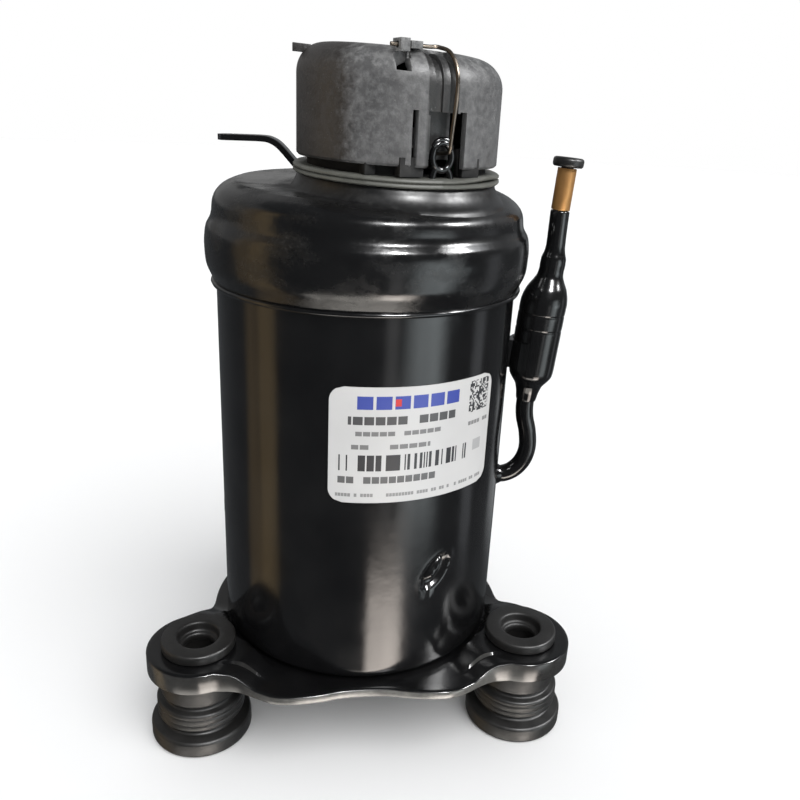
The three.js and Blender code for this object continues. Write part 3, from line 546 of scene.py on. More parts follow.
CAD_LOOKS = (
    (plain("plated_steel", (0.55, 0.55, 0.55), 0.32, 1.0, 0.12),
     ["terminal_body", *numbered("terminal_pin", 3), "protector_clip"]),
    (plain("bead_glass", (0.03, 0.10, 0.08), 0.12, 0.0, 0.3, coat=1.0), numbered("glass_bead", 3)),
    (plain("black_phenolic", (0.02, 0.02, 0.021), 0.45, 0.0, 0.3), ["overload_protector"]),
    (plain("green_screw", (0.08, 0.28, 0.15), 0.35, 1.0, 0.2), ["earth_screw"]),
    (plain("lead_sleeve", (0.55, 0.50, 0.38), 0.85, 0.0, 0.2, grain=(1, 1, 4), scale=900, bump=0.4),
     numbered("motor_lead", 3)),
    (plain("lamination", (0.20, 0.205, 0.21), 0.42, 1.0, 0.2, grain=(0.02, 0.02, 1), scale=1800, bump=0.5),
     ["stator_core", "rotor_core"]),
    (plain("winding", (0.52, 0.20, 0.065), 0.35, 1.0, 0.3, grain=(1, 1, 3), scale=900, bump=0.6, coat=0.6),
     ["stator_winding"]),
    (plain("cast_aluminium", (0.66, 0.67, 0.68), 0.42, 1.0, 0.1, bump=0.2),
     ["rotor_end_ring_upper", "rotor_end_ring_lower"]),
    (plain("weight_steel", (0.38, 0.38, 0.38), 0.38, 1.0, 0.15), ["balance_weight_upper", "balance_weight_lower"]),
    (plain("ground_steel", (0.5, 0.5, 0.5), 0.22, 1.0, 0.1, grain=(1, 1, 0.1)),
     ["crankshaft", "oil_paddle", "rolling_piston", "vane", "vane_spring", "discharge_valve_reed", "valve_stop",
      "valve_rivet", "discharge_muffler", *numbered("pump_screw", 4)]),
    (plain("pump_iron", (0.14, 0.14, 0.145), 0.5, 1.0, 0.2, bump=0.3), ["cylinder", "main_bearing", "sub_bearing"]),
    (ENAMEL, ["muffler_clip"]),
)
for look, nodes in CAD_LOOKS:
    for node in nodes:
        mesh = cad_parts[node].data
        mesh.materials.clear()
        mesh.materials.append(look)


def ease(t):
    """0 to 1 with soft ends."""
    t = min(max(t, 0.0), 1.0)
    return t * t * (3 - 2 * t)


def polar(az, r, z=0.0):
    """A point at an azimuth from the front, towards the right."""
    return (r * sin(rad(az)), -r * cos(rad(az)), z)


# ---- can
WELD_LONG, WELD_WIDE, WELD_TILT = 6.6, 3.6, rad(52)  # half sizes of a plug weld
WELD_DEPTH = 1.7


def weld_dip(x, y, z):
    """How deep the can is pressed in at a plug weld, 0 to 1, with a low rim round it."""
    deep = 0.0
    for w in WELD_AZ:
        off = (math.degrees(math.atan2(x, -y)) - w + 180) % 360 - 180
        s, t = rad(off) * SHELL_R, z - WELD_Z
        a = (s * cos(WELD_TILT) + t * sin(WELD_TILT)) / WELD_LONG
        b = (-s * sin(WELD_TILT) + t * cos(WELD_TILT)) / WELD_WIDE
        d = hypot(a, b)
        if d < 1.5:
            deep = max(deep, ease((1.18 - d) / 0.42))
            deep -= 0.10 * math.exp(-((d - 1.22) / 0.16) ** 2)
    return deep


def make_shell():
    """The drawn can, with finer rows where the plug welds are."""
    outer = [(0, SHELL_FLOOR), (20, SHELL_FLOOR), (36, SHELL_FLOOR),
             *arc(SHELL_R - CORNER_R, SHELL_FLOOR + CORNER_R, CORNER_R, -90, 0, 8)]
    z = 8.0
    while z < SHELL_TOP - 0.5:
        outer.append((SHELL_R, z))
        z += 0.8 if 32 < z < 52 else 4.0
    bore, inside = SHELL_R - SHELL_WALL, SHELL_FLOOR + SHELL_WALL
    outer += [(SHELL_R, SHELL_TOP), (bore, SHELL_TOP)]
    inner = [(bore, 100), (bore, inside + 0.5), (bore - 0.5, inside), (20, inside), (0, inside)]
    verts, faces = lathe(outer + inner, 360)
    out = []
    for x, y, z in verts:
        r = hypot(x, y)
        if r > SHELL_R - 0.1 and 30 < z < 56:
            k = 1 - WELD_DEPTH * weld_dip(x, y, z) / r
            x, y = x * k, y * k
        out.append((x, y, z))
    link("can", out, faces, ["shell_body"], 40, ENAMEL)


def make_weld(index, az):
    """The lumpy nugget in a plug weld's dip."""
    rng = random.Random(40 + index)
    ring, verts, faces = 20, [], []
    rows = [(0.0, 1.25), (0.25, 1.2), (0.5, 1.0), (0.72, 0.65), (0.9, 0.22), (1.02, -0.35)]
    for f, h in rows:
        if f == 0:
            verts.append((0, 0, h))
            continue
        for a in around(ring):
            lump = 1 + 0.10 * sin(3 * a + index) + 0.05 * rng.uniform(-1, 1)
            s, t = f * 0.74 * WELD_LONG * cos(a) * lump, f * 0.66 * WELD_WIDE * sin(a) * lump
            verts.append((s, t, h * (1 + 0.25 * sin(2 * a + 1.0 + index))))
    for k in range(1, len(rows) - 1):
        for i in range(ring):
            n = (i + 1) % ring
            a, b = 1 + (k - 1) * ring, 1 + k * ring
            faces.append((a + i, a + n, b + n, b + i))
    faces += [(0, 1 + i, 1 + (i + 1) % ring) for i in range(ring)]
    faces.append(tuple(1 + (len(rows) - 2) * ring + i for i in range(ring)))
    out = []
    for s, t, h in verts:
        side = s * cos(WELD_TILT) - t * sin(WELD_TILT)
        rise = s * sin(WELD_TILT) + t * cos(WELD_TILT)
        out.append(polar(az + math.degrees(side / SHELL_R), SHELL_R - 1.55 + h, WELD_Z + rise))
    link(f"plug_weld_bead_{index}", out, faces, [f"plug_weld_{index}"], 60, ENAMEL)


def make_welds():
    for i, az in enumerate(WELD_AZ):
        make_weld(i + 1, az)


# ---- cap with its seat
DOME_R, DOME_Z, DOME_H = 43.6, 162.2, 0.3
PITCH_BACK, PITCH_FROM = 0.034, -43  # the top rises towards the back; the seat's rise starts at this y
LEAN_DIR, LEAN_FALL, LEAN_LOW, LEAN_HIGH = (0.985, -0.174), 0.95, 145, 160


def settle(x, y, z):
    """The top of the can leans a little: it drops by LEAN_FALL at one side and rises as much at the other."""
    across = (x * LEAN_DIR[0] + y * LEAN_DIR[1]) / SHELL_R
    return z - LEAN_FALL * across * ease((z - LEAN_LOW) / (LEAN_HIGH - LEAN_LOW))


def make_cap():
    """The bulged skirt, stepped shoulder and nearly flat top, joined with the round seat of the cover."""
    side = spline([(51.45, 131.5), (51.9, 132.6), (52.5, 134.0), (53.2, 135.6), (53.65, 137.2), (53.85, 139.0),
                   (53.95, 141.0), (54.0, 143.4), (53.85, 145.4), (53.6, 147.2), (53.25, 148.6), (52.6, 149.8),
                   (51.9, 151.0), (51.45, 152.5), (51.25, 154.2), (51.0, 155.8), (50.5, 157.2), (49.8, 158.4),
                   (48.7, 159.6), (47.2, 160.7), (45.5, 161.5), (DOME_R, DOME_Z)], 4)
    dome = [(r, DOME_Z + DOME_H * (1 - (r / DOME_R) ** 2)) for r in (41.5, 39, 36, 33, 30, 26, 22, 16, 8, 0)]
    inner = [(0, 159.4), (42, 159.4), (45.2, 158.2), (47.6, 155.6), (48.6, 152.0), (49.4, 149.0), (50.7, 146.0)]
    profile = [*inner, (50.9, 144.8), (50.9, 131.45), (51.1, 131.3), *side, *dome]
    verts, faces = lathe(profile, 240)
    base = scratch([(x, y, z + PITCH_BACK * y * ease((z - 156) / 6)) for x, y, z in verts], faces)
    seat = [(0, 157.4), (34.8, 157.4), (35.8, 158.2), (35.6, 159.2), (34.2, 160.2), (33.0, 161.2), (32.1, 162.5),
            (31.5, 163.8), (31.1, BOSS_TOP - 0.9), (30.7, BOSS_TOP - 0.35), (30.0, BOSS_TOP - 0.05),
            (29.0, BOSS_TOP), (15.6, BOSS_TOP), (0, BOSS_TOP)]
    verts, faces = lathe(seat, 160)
    seat = [(x, y, z + PITCH_BACK * (y - PITCH_FROM)) for x, y, z in turn(verts, 0, *BOSS)]
    me = carve(base, [(ADD, scratch(seat, faces))])
    bend(me, settle)
    dress("cap", me, ["top_cap"], 50, ENAMEL_CAP)


def make_seam():
    """The weld bead round the lip: a soft ripple that wanders in width."""
    rng = random.Random(7)
    n, sides = 300, 8
    waves = [(k, rng.uniform(0, 6.28), rng.uniform(0.3, 1.0) / k ** 0.5) for k in (5, 9, 16, 27, 44, 71)]
    verts = []
    for a in around(n):
        w = sum(amp * sin(k * a + ph) for k, ph, amp in waves)
        thick, middle = 0.95 + 0.10 * w, 130.75 + 0.14 * w
        for b in around(sides):
            r = 51.35 + thick * cos(b)
            verts.append((r * cos(a), r * sin(a), middle + thick * 0.95 * sin(b)))
    link("seam_bead", verts, loop_faces(n, sides), ["seam_weld"], 70, ENAMEL)


# ---- base plate
FRONT_EDGE = [(0, -54.9), (8, -55.3), (14, -56.5), (20, -57.3), (26.5, -57.5),
              (31.5, -56.6), (35.5, -54.6), (39.5, -52.3), (43, -50.6), (46.2, -49.9)]
LOBE, BODY, BLEND = 17.8, 55.5, 20.0  # radii of the outline
PLATE_LOW, PLATE_HIGH = 3.0, 7.5
STUD_R, POCKET_R, POCKET_TOP = 9.2, 14.6, 4.5


def plate_outline():
    """The plate from above: a nearly straight front edge, a lobe at each foot and round sides."""
    reach = BODY + BLEND
    side = math.degrees(math.acos((FOOT_PR ** 2 + reach ** 2 - (LOBE + BLEND) ** 2) / (2 * FOOT_PR * reach)))
    foot, back = polar(60, FOOT_PR), polar(180, FOOT_PR)
    c1, c2 = polar(60 + side, reach), polar(180 - side, reach)
    to_side = math.degrees(math.atan2(c1[1] - foot[1], c1[0] - foot[0]))
    to_back = math.degrees(math.atan2(c2[1] - back[1], c2[0] - back[0]))
    front = [q for q in spline([(-8, -55.3), *FRONT_EDGE, (50.5, -49.6)], 5) if q[0] > -0.01][:-5]
    half = [*front,
            *arc(foot[0], foot[1], LOBE, -112, to_side - 2, 44),
            *arc(c1[0], c1[1], BLEND, to_side - 180, side - 210, 10),
            *arc(0, 0, BODY, side - 30, 90 - side, 30)[1:-1],
            *arc(c2[0], c2[1], BLEND, -90 - side, to_back - 180, 10),
            *arc(back[0], back[1], LOBE, to_back + 2, 90, 22)]
    half[0] = (0.0, half[0][1])
    return half + [(-x, y) for x, y in half[-2:0:-1]]


def plate_top(x, y):
    """The plate's height, raised round each foot."""
    near = min(hypot(x - polar(a, FOOT_PR)[0], y - polar(a, FOOT_PR)[1]) for a in FOOT_AZ.values())
    return PLATE_LOW + (PLATE_HIGH - PLATE_LOW) * ease((29.5 - near) / 12)


def make_plate():
    """The pressed plate: its folded edge, a top that rises to the feet, and its stud holes and pockets."""
    line = plate_outline()
    n = len(line)

    def inset(d):
        """The outline moved inwards."""
        pts = []
        for i, (x, y) in enumerate(line):
            a, b = line[i - 2], line[(i + 2) % n]
            far = hypot(b[0] - a[0], b[1] - a[1])
            pts.append((x - d * (b[1] - a[1]) / far, y + d * (b[0] - a[0]) / far))
        return pts

    tops = [plate_top(x, y) for x, y in line]
    # the edge as (inset, height) and then, over the fold, as (inset, drop from the top)
    lip = ((2.3, 0.0), (1.3, -0.02), (0.35, 0.0), (0.06, 0.2), (0.0, 0.6))
    fold = ((0.02, 0.85), (0.1, 0.5), (0.28, 0.26), (0.58, 0.08), (1.0, 0.0), (1.7, 0.0),
            (2.6, 0.02), (3.6, 0.05), (4.5, 0.05), (5.2, 0.1), (6.2, 0.12))
    rows = [[(x, y, z) for x, y in inset(d)] for d, z in lip]
    rows += [[(x, y, t - k) for (x, y), t in zip(inset(d), tops)] for d, k in fold]
    # from the fold to circles under the can
    edge = inset(6.8)
    for t in [k / 16 for k in range(17)] + [1.06, 1.2]:
        row = []
        for x, y in edge:
            far = hypot(x, y)
            near = min(48.5, far - 0.3)
            f = (far + (near - far) * t) / far
            x, y = x * f, y * f
            h = ease((hypot(x, y) - 51.0) / 1.7)
            z = plate_top(x, y)
            row.append((x, y, PLATE_LOW + (z - 0.12 - PLATE_LOW) * h))
        rows.append(row)
    verts = [v for row in rows for v in row]
    last, top, low = len(verts) - n, len(verts), len(verts) + 1
    verts += [(0, 0, PLATE_LOW), (0, 0, 0)]
    faces = [(a + k, a + (k + 1) % n, a + n + (k + 1) % n, a + n + k) for a in range(0, last, n) for k in range(n)]
    faces += [(last + k, last + (k + 1) % n, top) for k in range(n)]
    faces += [((k + 1) % n, k, low) for k in range(n)]
    base = scratch(verts, faces)
    stud = lathe([(0, -5), (STUD_R, -5), (STUD_R, 20), (0, 20)], 48)
    pocket = lathe([(0, -5), (POCKET_R, -5), (POCKET_R, POCKET_TOP - 0.9), (POCKET_R - 0.9, POCKET_TOP),
                    (0, POCKET_TOP)], 64)
    tools = [(CUT, scratch(turn(v, 0, *polar(az, FOOT_PR)[:2]), f))
             for az in FOOT_AZ.values() for v, f in (stud, pocket)]
    me = carve(base, tools)
    dress("base_plate_pressing", me, ["base_plate"], 38, ENAMEL_PLATE)


# ---- rubber feet
def make_feet():
    profile = [
        # the wide base and the neck above it
        (5.6, FLOOR_Z), (17.0, FLOOR_Z), (17.5, -26.2), (17.5, -21.8), (16.9, -21.0), (13.8, -20.5), (13.2, -19.9),
        (13.2, -18.9), (13.6, -18.3),
        # the ribs
        (14.9, -17.9), (15.2, -17.3), (15.2, -16.0), (14.95, -15.5), (15.2, -15.0), (15.2, -13.6), (14.95, -13.1),
        (15.2, -12.6), (15.2, -11.9), (14.7, -11.3), (13.0, -11.0), (12.6, -10.6), (12.6, -9.7), (13.0, -9.3),
        # up into the plate's pocket, through its hole and over it as a washer
        (13.5, -9.0), (13.8, -8.3), (13.8, 4.1), (8.9, 4.1), (8.9, 7.7), (12.7, 7.7), (12.75, 10.5), (12.3, 11.1),
        (8.4, 11.25),
        # the bore
        (7.5, 11.1), (7.1, 10.6), (6.95, 8.4), (6.5, 7.8), (5.7, 7.7), (5.3, 7.0), (5.3, 5.6), (5.7, 5.0),
        (6.2, 4.0), (6.2, -2.0), (5.6, -3.0)]
    verts, faces = lathe(closed_round(profile, 0.3, 2), 96, closed=True)
    for side, az in FOOT_AZ.items():
        x, y, _ = polar(az, FOOT_PR)
        link(f"foot_{side}", turn(verts, az, x, y), faces, [f"grommet_{side}"], 70, RUBBER)


# ---- terminal cover
SLOPE_DIR = (0.882, -0.471)
SINK, EDGE_SLOPE, TOP_SLOPE = 0.75, 0.75, 1.8
COVER_PLACE = Matrix.Translation((BOSS[0] * MM, BOSS[1] * MM, 0)) @ Matrix.Rotation(rad(NOSE), 4, "Z")


def on_boss(points):
    """Points from the cover's own axes to the frame's."""
    return turn(points, NOSE, *BOSS)


def slope(x, y, z):
    """The cover sits askew: it drops across the front, more at its top than at its edge."""
    t = (z - COVER_BOTTOM) / (COVER_TOP - COVER_BOTTOM)
    across = (x * SLOPE_DIR[0] + y * SLOPE_DIR[1]) / COVER_R
    return z + (1 - t) * (-SINK - EDGE_SLOPE * across) + t * (-SINK - TOP_SLOPE * across)


def cover_profile(inset, low):
    """The cover's half section, made smaller by inset and cut off at the height low."""
    r, rr = COVER_R - inset, COVER_ROUND - inset * 0.5
    top = COVER_TOP - inset
    return [(0, low), (r, low), (r, 178), (r, 186), *arc(r - rr, top - rr, rr, 0, 90, 14),
            (14, top + 0.25), (0, top + 0.3)]


def groove(x0, x1, z0, back, depth):
    """A tool that cuts a groove of one depth up the cover's side and over its shoulder."""
    core = scratch(*lathe(cover_profile(depth, COVER_BOTTOM - 20), 128))
    bar = scratch(*block(x0, x1, -COVER_R - 4, back, z0, COVER_TOP + 4))
    return object_of("tool", carve(bar, [(CUT, core)]))


def make_cover():
    """The moulding with its grooves, slots, lug and tab, and the lip inside its edge, coloured near black as painted
    shade.
    """
    face = -COVER_R
    r, top = COVER_R, COVER_TOP
    shell = cover_profile(0, COVER_BOTTOM)
    shell[1:2] = [(r - 0.7, COVER_BOTTOM), (r, COVER_BOTTOM + 0.7)]
    wall, curve, under = 2.4, 6.5, COVER_BOTTOM - 5
    hollow = [(0, under), (r - wall, under), *arc(r - wall - curve, top - wall - curve, curve, 0, 90, 8),
              (0, top - wall)]
    base = scratch(*lathe(shell, 144))
    tab, six = block(-2.4, 2.4, -32.4, -27, 199.9, 202.0)
    first = [
        (CUT, scratch(*lathe(hollow, 96))),
        (ADD, scratch(*block(-5.9, 3.4, -25.6, -23.2, 174, 199))),
        (ADD, scratch(turn(tab, -88 - NOSE), six)),
        (CUT, groove(-6.6, 2.6, 186.0, -21, 0.9)),
        (CUT, groove(-4.4, -1.9, 186.0, -21, 1.9)),
        (CUT, groove(0.2, 2.6, 186.0, -21, 1.9)),
        (CUT, scratch(*block(-5.8, 5.8, face - 3, -25.9, under, 187))),
        (CUT, scratch(*block(3.4, 5.8, face - 3, -19, under, 187.4))),
        (CUT, scratch(*block(-10.6, -9.0, face - 3, face + 7, under, 187))),
        (CUT, scratch(*block(-15.0, -11.2, face - 3, face + 7.0, 196.6, 201.6))),
    ]
    me = carve(base, first, 0.3, 42)
    bend(me, slope)
    lug = [(ADD, scratch(*block(-14.2, -11.4, -27.7, -22.8, 200.6, 203.9))),
           (ADD, scratch(*block(-11.6, -7.2, -27.0, -22.8, 201.5, 203.4))),
           (CUT, scratch(*block(-11.3, -10.7, -30, -25.6, 199, 206))),
           (CUT, scratch(*sweep([(-24, BAIL_Y, BAIL_Z), (0, BAIL_Y, BAIL_Z)], WIRE_R + 0.35, 16)))]
    me = carve(object_of("tool", me), lug, 0.22, 50)
    me.transform(COVER_PLACE)
    dress("cover_moulding", me, ["terminal_cover"], 38, COVER)
    # the lip, open at the slot, with the feet that it stands on; all coloured near black as painted shade under the
    # cover
    lip = scratch(*lathe([(26.0, 168.4), (28.0, 168.4), (28.0, 176), (26.0, 176)], 96, closed=True))
    feet = [block(-13.6, -6.2, -28.9, -25.6, 168.3, 173.5), block(6.4, 12.0, -29.2, -25.2, 168.3, 173.5),
            block(-21.4, -18.2, -22.6, -18.6, 168.3, 172.0)]
    opening = (CUT, scratch(*block(-5.8, 5.8, -40, -20, 160, 180)))
    me = carve(lip, [*((ADD, scratch(*f)) for f in feet), opening], 0.2, 50)
    me.transform(COVER_PLACE)
    dress("cover_lip", me, [], 38, LIP_SHADE)


def make_gasket():
    """A folded strip under the cover: two sheets that part at the front right."""
    n, inside, width, parts = 200, 25, 7.4, []
    sheets = ((BOSS_TOP - 0.45, BOSS_TOP + 0.9, 0.0, 0.75), (BOSS_TOP + 0.95, BOSS_TOP + 2.2, 0.7, 0.1))
    for low, high, rise, push in sheets:
        section = [(inside, low), (31.9, low), (32.4, low + 0.4), (32.4, high - 0.4), (31.9, high), (inside, high)]
        verts = []
        for i in range(n):
            a = 360 * i / n
            part = math.exp(-(((a + 180) % 360 - 180 - 32) / 17) ** 2)
            wave = 0.10 * sin(rad(a) * 5 + 1) + 0.06 * sin(rad(a) * 13)
            lift = rise * part + 0.06 * sin(rad(a) * 4)
            for r, z in section:
                k = (r - inside) / width
                verts.append(polar(a, r + (push * part + wave) * k, z + lift * k))
        parts.append((verts, loop_faces(n, len(section))))
    verts, faces = merge(*parts)
    verts = [(x, y, settle(x, y, z) + PITCH_BACK * (y - PITCH_FROM)) for x, y, z in on_boss(verts)]
    link("gasket_ring", verts, faces, ["cover_gasket"], 50, GASKET)


def make_eye():
    """A thick strap bent up into a loop with a hood, standing on a foot."""
    loop = [(x, EYE_Y, EYE_Z + 0.3 + z) for x, z in ((3.15 * cos(rad(a)), 3.75 * sin(rad(a)))
                                                    for a in range(-90, 270, 9))]
    ring = sweep([*loop, loop[0]], 1.0, 14)
    half = ((3.0, 0, 2.9), (2.2, -0.1, 4.3), (1.0, -0.15, 4.9))
    hood = sweep([(-x, EYE_Y + y, EYE_Z + z) for x, y, z in half]
                 + [(x, EYE_Y + y, EYE_Z + z) for x, y, z in half[::-1]], 0.8, 12)
    legs = [sweep(spline([(s * 1.6, EYE_Y, EYE_Z - 2.6), (s * 2.6, EYE_Y - 0.1, EYE_Z - 4.2),
                          (s * 3.3, EYE_Y - 0.3, BOSS_TOP + 0.6)], 5), 0.95, 12) for s in (-1, 1)]
    v, f = merge(ring, hood, *legs)
    link("eye_loop", on_boss(v), f, ["bail_eye"], 60, ENAMEL)


def make_bail():
    """The wire from the cover's lug to the eye. Its hook follows the swing, so that it leaves the eye freely."""
    hook = EYE_Z + 1.2
    dy, dz = EYE_Y - BAIL_Y, hook - BAIL_Z
    iy, iz = -dz / hypot(dy, dz), dy / hypot(dy, dz)
    line = [(-16.2, BAIL_Y, BAIL_Z), (-10, BAIL_Y, BAIL_Z), (-4.6, BAIL_Y, BAIL_Z), (-1.8, BAIL_Y - 0.8, BAIL_Z),
            (0.2, -29.4, BAIL_Z - 1.4), (0.7, -32.7, 196.3), (0.6, -33.4, 190), (0, -33.4, 183), (-0.3, -33.3, 178.6),
            (0, EYE_Y - 4.2 * iy, hook - 4.2 * iz + 0.35), (0, EYE_Y - 2.6 * iy, hook - 2.6 * iz),
            (0, EYE_Y + 2.8 * iy, hook + 2.8 * iz)]
    v, f = sweep(spline(line, 8), WIRE_R, 14)
    link("bail_wire", on_boss(v), f, ["cover_bail_wire"], 60, WIRE, "bail")


# ---- wiring bracket
def make_bracket():
    """A bent strip with a rounded end and a hole."""
    line = spline([(-18.5, 163.8), (-21.4, 163.8), (-23.3, 164.8), (-26.2, 168.2), (-30.6, 172.8), (-33.6, 174.5),
                   (-36.5, 174.9), (-42, 174.9), (-51.2, 174.8)], 6)
    half, wide, middle, verts, faces = 0.95, 4.5, 11, [], []
    for i, (x, z) in enumerate(line):
        a, b = line[max(i - 1, 0)], line[min(i + 1, len(line) - 1)]
        n = Vector((-(b[1] - a[1]), b[0] - a[0])).normalized()
        end = (x + 51.2) / 3.2
        w = wide if end > 1 else wide * math.sqrt(max(1 - (1 - end) ** 2, 0.04))
        for sy, sn in ((-1, -1), (-1, 1), (1, 1), (1, -1)):
            verts.append((x + n.x * half * sn, middle + sy * w, z + n.y * half * sn))
    for i in range(len(line) - 1):
        for k in range(4):
            m = (k + 1) % 4
            faces.append((4 * i + k, 4 * i + m, 4 * i + 4 + m, 4 * i + 4 + k))
    faces += [(0, 1, 2, 3), tuple(4 * (len(line) - 1) + k for k in (3, 2, 1, 0))]
    base = scratch(verts, faces)
    hole = scratch(*sweep([(-46, middle, 160), (-46, middle, 190)], 1.6, 24))
    me = carve(base, [(CUT, hole)], 0.3, 50)
    me.transform(Matrix.Rotation(rad(SUCTION_TURN), 4, "Z"))
    dress("bracket_strip", me, ["wiring_bracket"], 40, ENAMEL)


# ---- suction line
def on_suction(points):
    return turn(points, SUCTION_TURN)


def tilt(points):
    """Points along the muffler's own axis, which bows a little at the neck and leans outwards."""
    c, s = cos(LEAN), sin(LEAN)
    bent = [(x + 0.9 * math.exp(-((z - 42) / 12) ** 2), y, z) for x, y, z in points]
    return on_suction([(x * c + z * s + MUFFLER_X, y, -x * s + z * c + MUFFLER_Z) for x, y, z in bent])


def make_suction():
    """The elbow out of the can, the muffler with its swaged neck, the copper stub and its bung."""
    pipe = [(46.6, 0, PORT_Z), (50.5, 0, 58.4), (54.1, 0, 58.7), (57.6, 0, 60.6), (60.5, 0, 64.4), (61.8, 0, 69.6),
            (61.2, 0, 75.8), (59.6, 0, 82.0), (59.2, 0, 87.0), (59.6, 0, 92.0), (59.9, 0, 95.5)]
    v, f = sweep(spline(pipe, 8), 3.2, 32)
    root = [(49.4, 0, 58.4), (50.4, 0, 58.4), (51.2, 0, 58.45), (51.9, 0, 58.5), (52.6, 0, 58.6)]
    collar = sweep(root, lambda t: 5.0 - 1.75 * t ** 0.7, 32)
    v, f = merge((v, f), collar)
    link("elbow_tube", on_suction(v), f, ["suction_elbow"], 60, ENAMEL)
    body = [(2.4, -8.0), (3.5, -9.5), (3.7, -8.6), (4.1, -6.0), (4.9, -3.4), (6.6, -1.2), (7.6, 0.4), (7.85, 1.8),
            (7.95, 4.0), (8.0, 8), (8.1, 17.2), (7.9, 17.8), (8.1, 18.4), (8.1, 22.6), (7.9, 23.2), (8.1, 23.8),
            (8.1, 27.2), (7.7, 29.6), (6.8, 32.2), (5.4, 34.6), (4.5, 36.4), (4.25, 38.2), (4.35, 40.6), (4.2, 42.9),
            (3.6, 44.4), (3.25, 46.5), (3.2, 50), (3.2, 58.2), (3.0, 58.6), (2.4, 58.6)]
    v, f = lathe(closed_round(body, 0.7, 3), 72, closed=True)
    link("muffler_body", tilt(v), f, ["suction_muffler"], 50, ENAMEL)
    v, f = lathe([(2.35, 58.9), (3.05, 58.9), (3.15, 59.1), (3.15, 72.1), (3.05, 72.4), (2.35, 72.4)], 48, closed=True)
    link("copper_stub", tilt(v), f, ["suction_stub"], 50, COPPER)
    v, f = lathe([(0, 66.0), (1.7, 66.0), (2.0, 67.0), (2.0, 72.6), (3.2, 72.7), (4.6, 72.8), (5.0, 73.2),
                  (5.1, 73.8), (5.1, 74.9), (4.9, 75.5), (4.3, 75.8), (0, 75.8)], 48)
    link("suction_bung", tilt(v), f, ["suction_plug"], 60, PLUG_RUBBER, "suction_cap")


def make_discharge():
    """The copper tube behind the cover, with its brazed foot and its bung."""
    v, f = lathe([(3.1, 153.2), (4.0, 153.2), (4.0, 189.7), (3.8, 190), (3.1, 190)], 48, closed=True)
    fillet = lathe([(4.0, 164.6), (4.6, 163.4), (5.8, 162.5), (6.4, 162.2), (4.0, 162.2)], 48, closed=True)
    v, f = merge((v, f), fillet)
    link("discharge_stub", turn(v, 0, *DISCHARGE_AT), f, ["discharge_tube"], 50, COPPER)
    v, f = lathe([(0, 184), (2.4, 184), (2.8, 185), (2.8, 190.3), (5.4, 190.35), (5.9, 190.9), (5.9, 193.0),
                  (5.3, 193.6), (0, 193.6)], 48)
    link("discharge_bung", turn(v, 0, *DISCHARGE_AT), f, ["discharge_plug"], 60, PLUG_RUBBER, "discharge_cap")


# ---- rating label
def make_label():
    """A film with rounded corners, wrapped round the can, with UVs over its whole width and height."""
    a0, a1, z0, z1, corner = -15.8, 49.8, 71.0, 109.0, 4.5
    nu, nv, r = 96, 48, SHELL_R + 0.28
    wide = rad(a1 - a0) * r
    rows = []
    for j in range(nv + 1):
        t = z0 + (z1 - z0) * j / nv
        d = min(t - z0, z1 - t)
        cut = corner - math.sqrt(max(corner ** 2 - (corner - d) ** 2, 0)) if d < corner else 0.0
        rows.append((t, cut))
    verts, faces, uvs = [], [], []
    for face in (r, r - 0.2):
        for t, cut in rows:
            for i in range(nu + 1):
                s = cut + (wide - 2 * cut) * i / nu
                verts.append(polar(a0 + math.degrees(s / r), face, t))
                uvs.append((s / wide, (t - z0) / (z1 - z0)))
    w, base = nu + 1, (nu + 1) * (nv + 1)
    for j in range(nv):
        for i in range(nu):
            q = (j * w + i, j * w + i + 1, (j + 1) * w + i + 1, (j + 1) * w + i)
            faces.append(q)
            faces.append(tuple(base + k for k in q[::-1]))
    rim = [*range(w), *(j * w + nu for j in range(1, nv + 1)),
           *(nv * w + i for i in range(nu - 1, -1, -1)), *(j * w for j in range(nv - 1, 0, -1))]
    for a, b in zip(rim, rim[1:] + rim[:1]):
        faces.append((a, base + a, base + b, b))
    me = mesh_of("label", verts, faces)
    layer = me.uv_layers.new(name="UVMap")
    for loop in me.loops:
        layer.data[loop.index].uv = uvs[loop.vertex_index]
    dress("label_film_sheet", me, ["rating_label"], 60, LABEL)


for make in (make_shell, make_welds, make_cap, make_seam, make_plate, make_feet, make_cover, make_gasket,
             make_eye, make_bail, make_bracket, make_suction, make_discharge, make_label):
    make()

# ---- floor, light
FLOOR_R, FLOOR_SIDES = 4000, 64
rim = [(FLOOR_R * cos(a), FLOOR_R * sin(a), FLOOR_Z - 0.2) for a in around(FLOOR_SIDES)]
me = mesh_of("floor", rim, [tuple(range(FLOOR_SIDES))])
floor = object_of("floor", me)
n = Material("floor_paper")
n.color(n.ramp(n.noise(3, 3), [(0.3, 0.88), (0.7, 0.90)]))
n.set(Roughness=0.9, Specular_IOR_Level=0.1)
me.materials.append(n.mat)
floor.visible_glossy = False


def lamp(name, kind, at, power, size, shiny=False):
    """A light on the part that only diffuse surfaces show, or only reflections if shiny."""
    data = bpy.data.lights.new(name, kind)
    data.energy = power
    if kind == "SUN":
        data.angle = rad(size)
    else:
        data.shape = "DISK"
        data.size = size
    ob = object_of(name, data)
    ob.location = at
    ob.rotation_euler = (Vector(LIT_POINT) - Vector(at)).to_track_quat("-Z", "Y").to_euler()
    ob.visible_glossy, ob.visible_diffuse, ob.visible_camera = shiny, not shiny, False


def sky_point(az, el):
    """Where a lamp stands, from the cap's azimuth and elevation."""
    return polar(az, LAMP_FAR * cos(rad(el)), LAMP_FAR * sin(rad(el)) + 0.16)


LIT_POINT, LAMP_FAR = (0, 0, 0.12), 3
lamp("soft_key", "SUN", sky_point(35, 52), 1.75, 50)
lamp("spark_front", "AREA", sky_point(19, 42), 105, 0.60, shiny=True)
lamp("spark_right", "AREA", sky_point(71, 35), 105, 0.75, shiny=True)

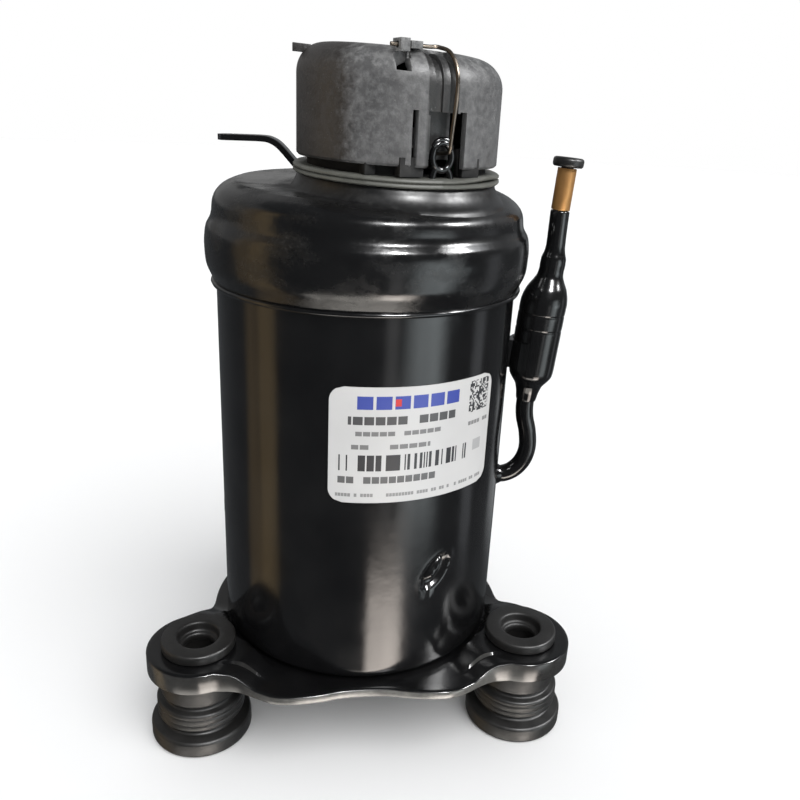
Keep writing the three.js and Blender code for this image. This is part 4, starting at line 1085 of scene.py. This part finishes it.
# The room seen in the gloss: azimuth, half width, edge, lowest, highest, edge (degrees), and radiance.
# Windows and lit floor at the front, a warm wall on the left, and the dim room behind, darker low down.
ROOM = [
    (43, 5, 17, -25, 2, 8, (2.2, 2.4, 2.45)),
    (54, 12, 7, -11, -5, 3, (1.3, 1.45, 1.5)),
    (16, 2, 5, -25, -2, 5, (0.9, 0.9, 0.9)),
    (33, 4, 6, -33, -27, 3, (0.6, 0.6, 0.6)),
    (19, 11, 7, -50, -35, 3, (9.6, 8.7, 7.9)),
    (-12, 36, 14, -64, -44, 2, (4.0, 3.8, 3.5)),
    (92, 3, 6, -28, 0, 6, (0.5, 0.52, 0.55)),
    (19, 10, 18, 36, 46, 5, (3.0, 3.0, 3.1)),
    (80, 8, 14, 30, 41, 5, (4.4, 4.5, 4.7)),
    (-90, 10, 10, -60, 30, 15, (0.40, 0.27, 0.12)),
    (-82, 6, 4, -34, 26, 8, (0.46, 0.33, 0.16)),
    (160, 45, 20, 5, 42, 6, (0.20, 0.205, 0.21)),
    (-150, 40, 20, 5, 42, 6, (0.24, 0.235, 0.23)),
    (140, 6, 8, -26, -4, 6, (0.35, 0.36, 0.37)),
    (150, 40, 20, -60, 3, 4, (-0.05, -0.053, -0.055)),
    (-150, 40, 20, -60, 3, 4, (-0.055, -0.06, -0.065)),
]
ROOM_BASE = (0.085, 0.09, 0.095)
FILL, FILL_POWER = (0.98, 0.99, 1.0), 0.78
world = bpy.data.worlds.new("studio")
bpy.context.scene.world = world
sky = Nodes(world, "Generated")


def fade(value, full, gone):
    """1 where value is at or past full, 0 at gone, smooth between."""
    return sky.make("MapRange", value, gone, full, 0.0, 1.0, interpolation_type="SMOOTHSTEP")


x, y, z = sky.split(sky.place)
turned = sky.times(sky.math("ARCTAN2", x, sky.times(y, -1.0)), math.degrees(1))
raised = sky.times(sky.math("ARCSINE", z), math.degrees(1))
haze = sky.noise(5.0, 4.0, 0.6)
room = sky.mix(1.0, ROOM_BASE, ROOM_BASE)
for az, half, soft, low, high, rim, shine in ROOM:
    wide = fade(sky.math("ABSOLUTE", sky.math("SUBTRACT", turned, az)), half, half + soft)
    tall = sky.times(fade(raised, low, low - rim), fade(raised, high, high + rim))
    room = sky.mix(sky.times(sky.times(wide, tall), sky.plus(haze, 0.5)), room, shine, "ADD")
path = sky.node("LightPath").outputs
dim, gloss, seen = (sky.make("Background", *args) for args in ((FILL, FILL_POWER), (room,), ((1, 1, 1), 1.0)))
shade = sky.make("MixShader", path["Is Glossy Ray"], dim, gloss)
sky.to(sky.make("MixShader", path["Is Camera Ray"], shade, seen), sky.node("OutputWorld").inputs[0])
bpy.context.scene.view_settings.view_transform = "Standard"
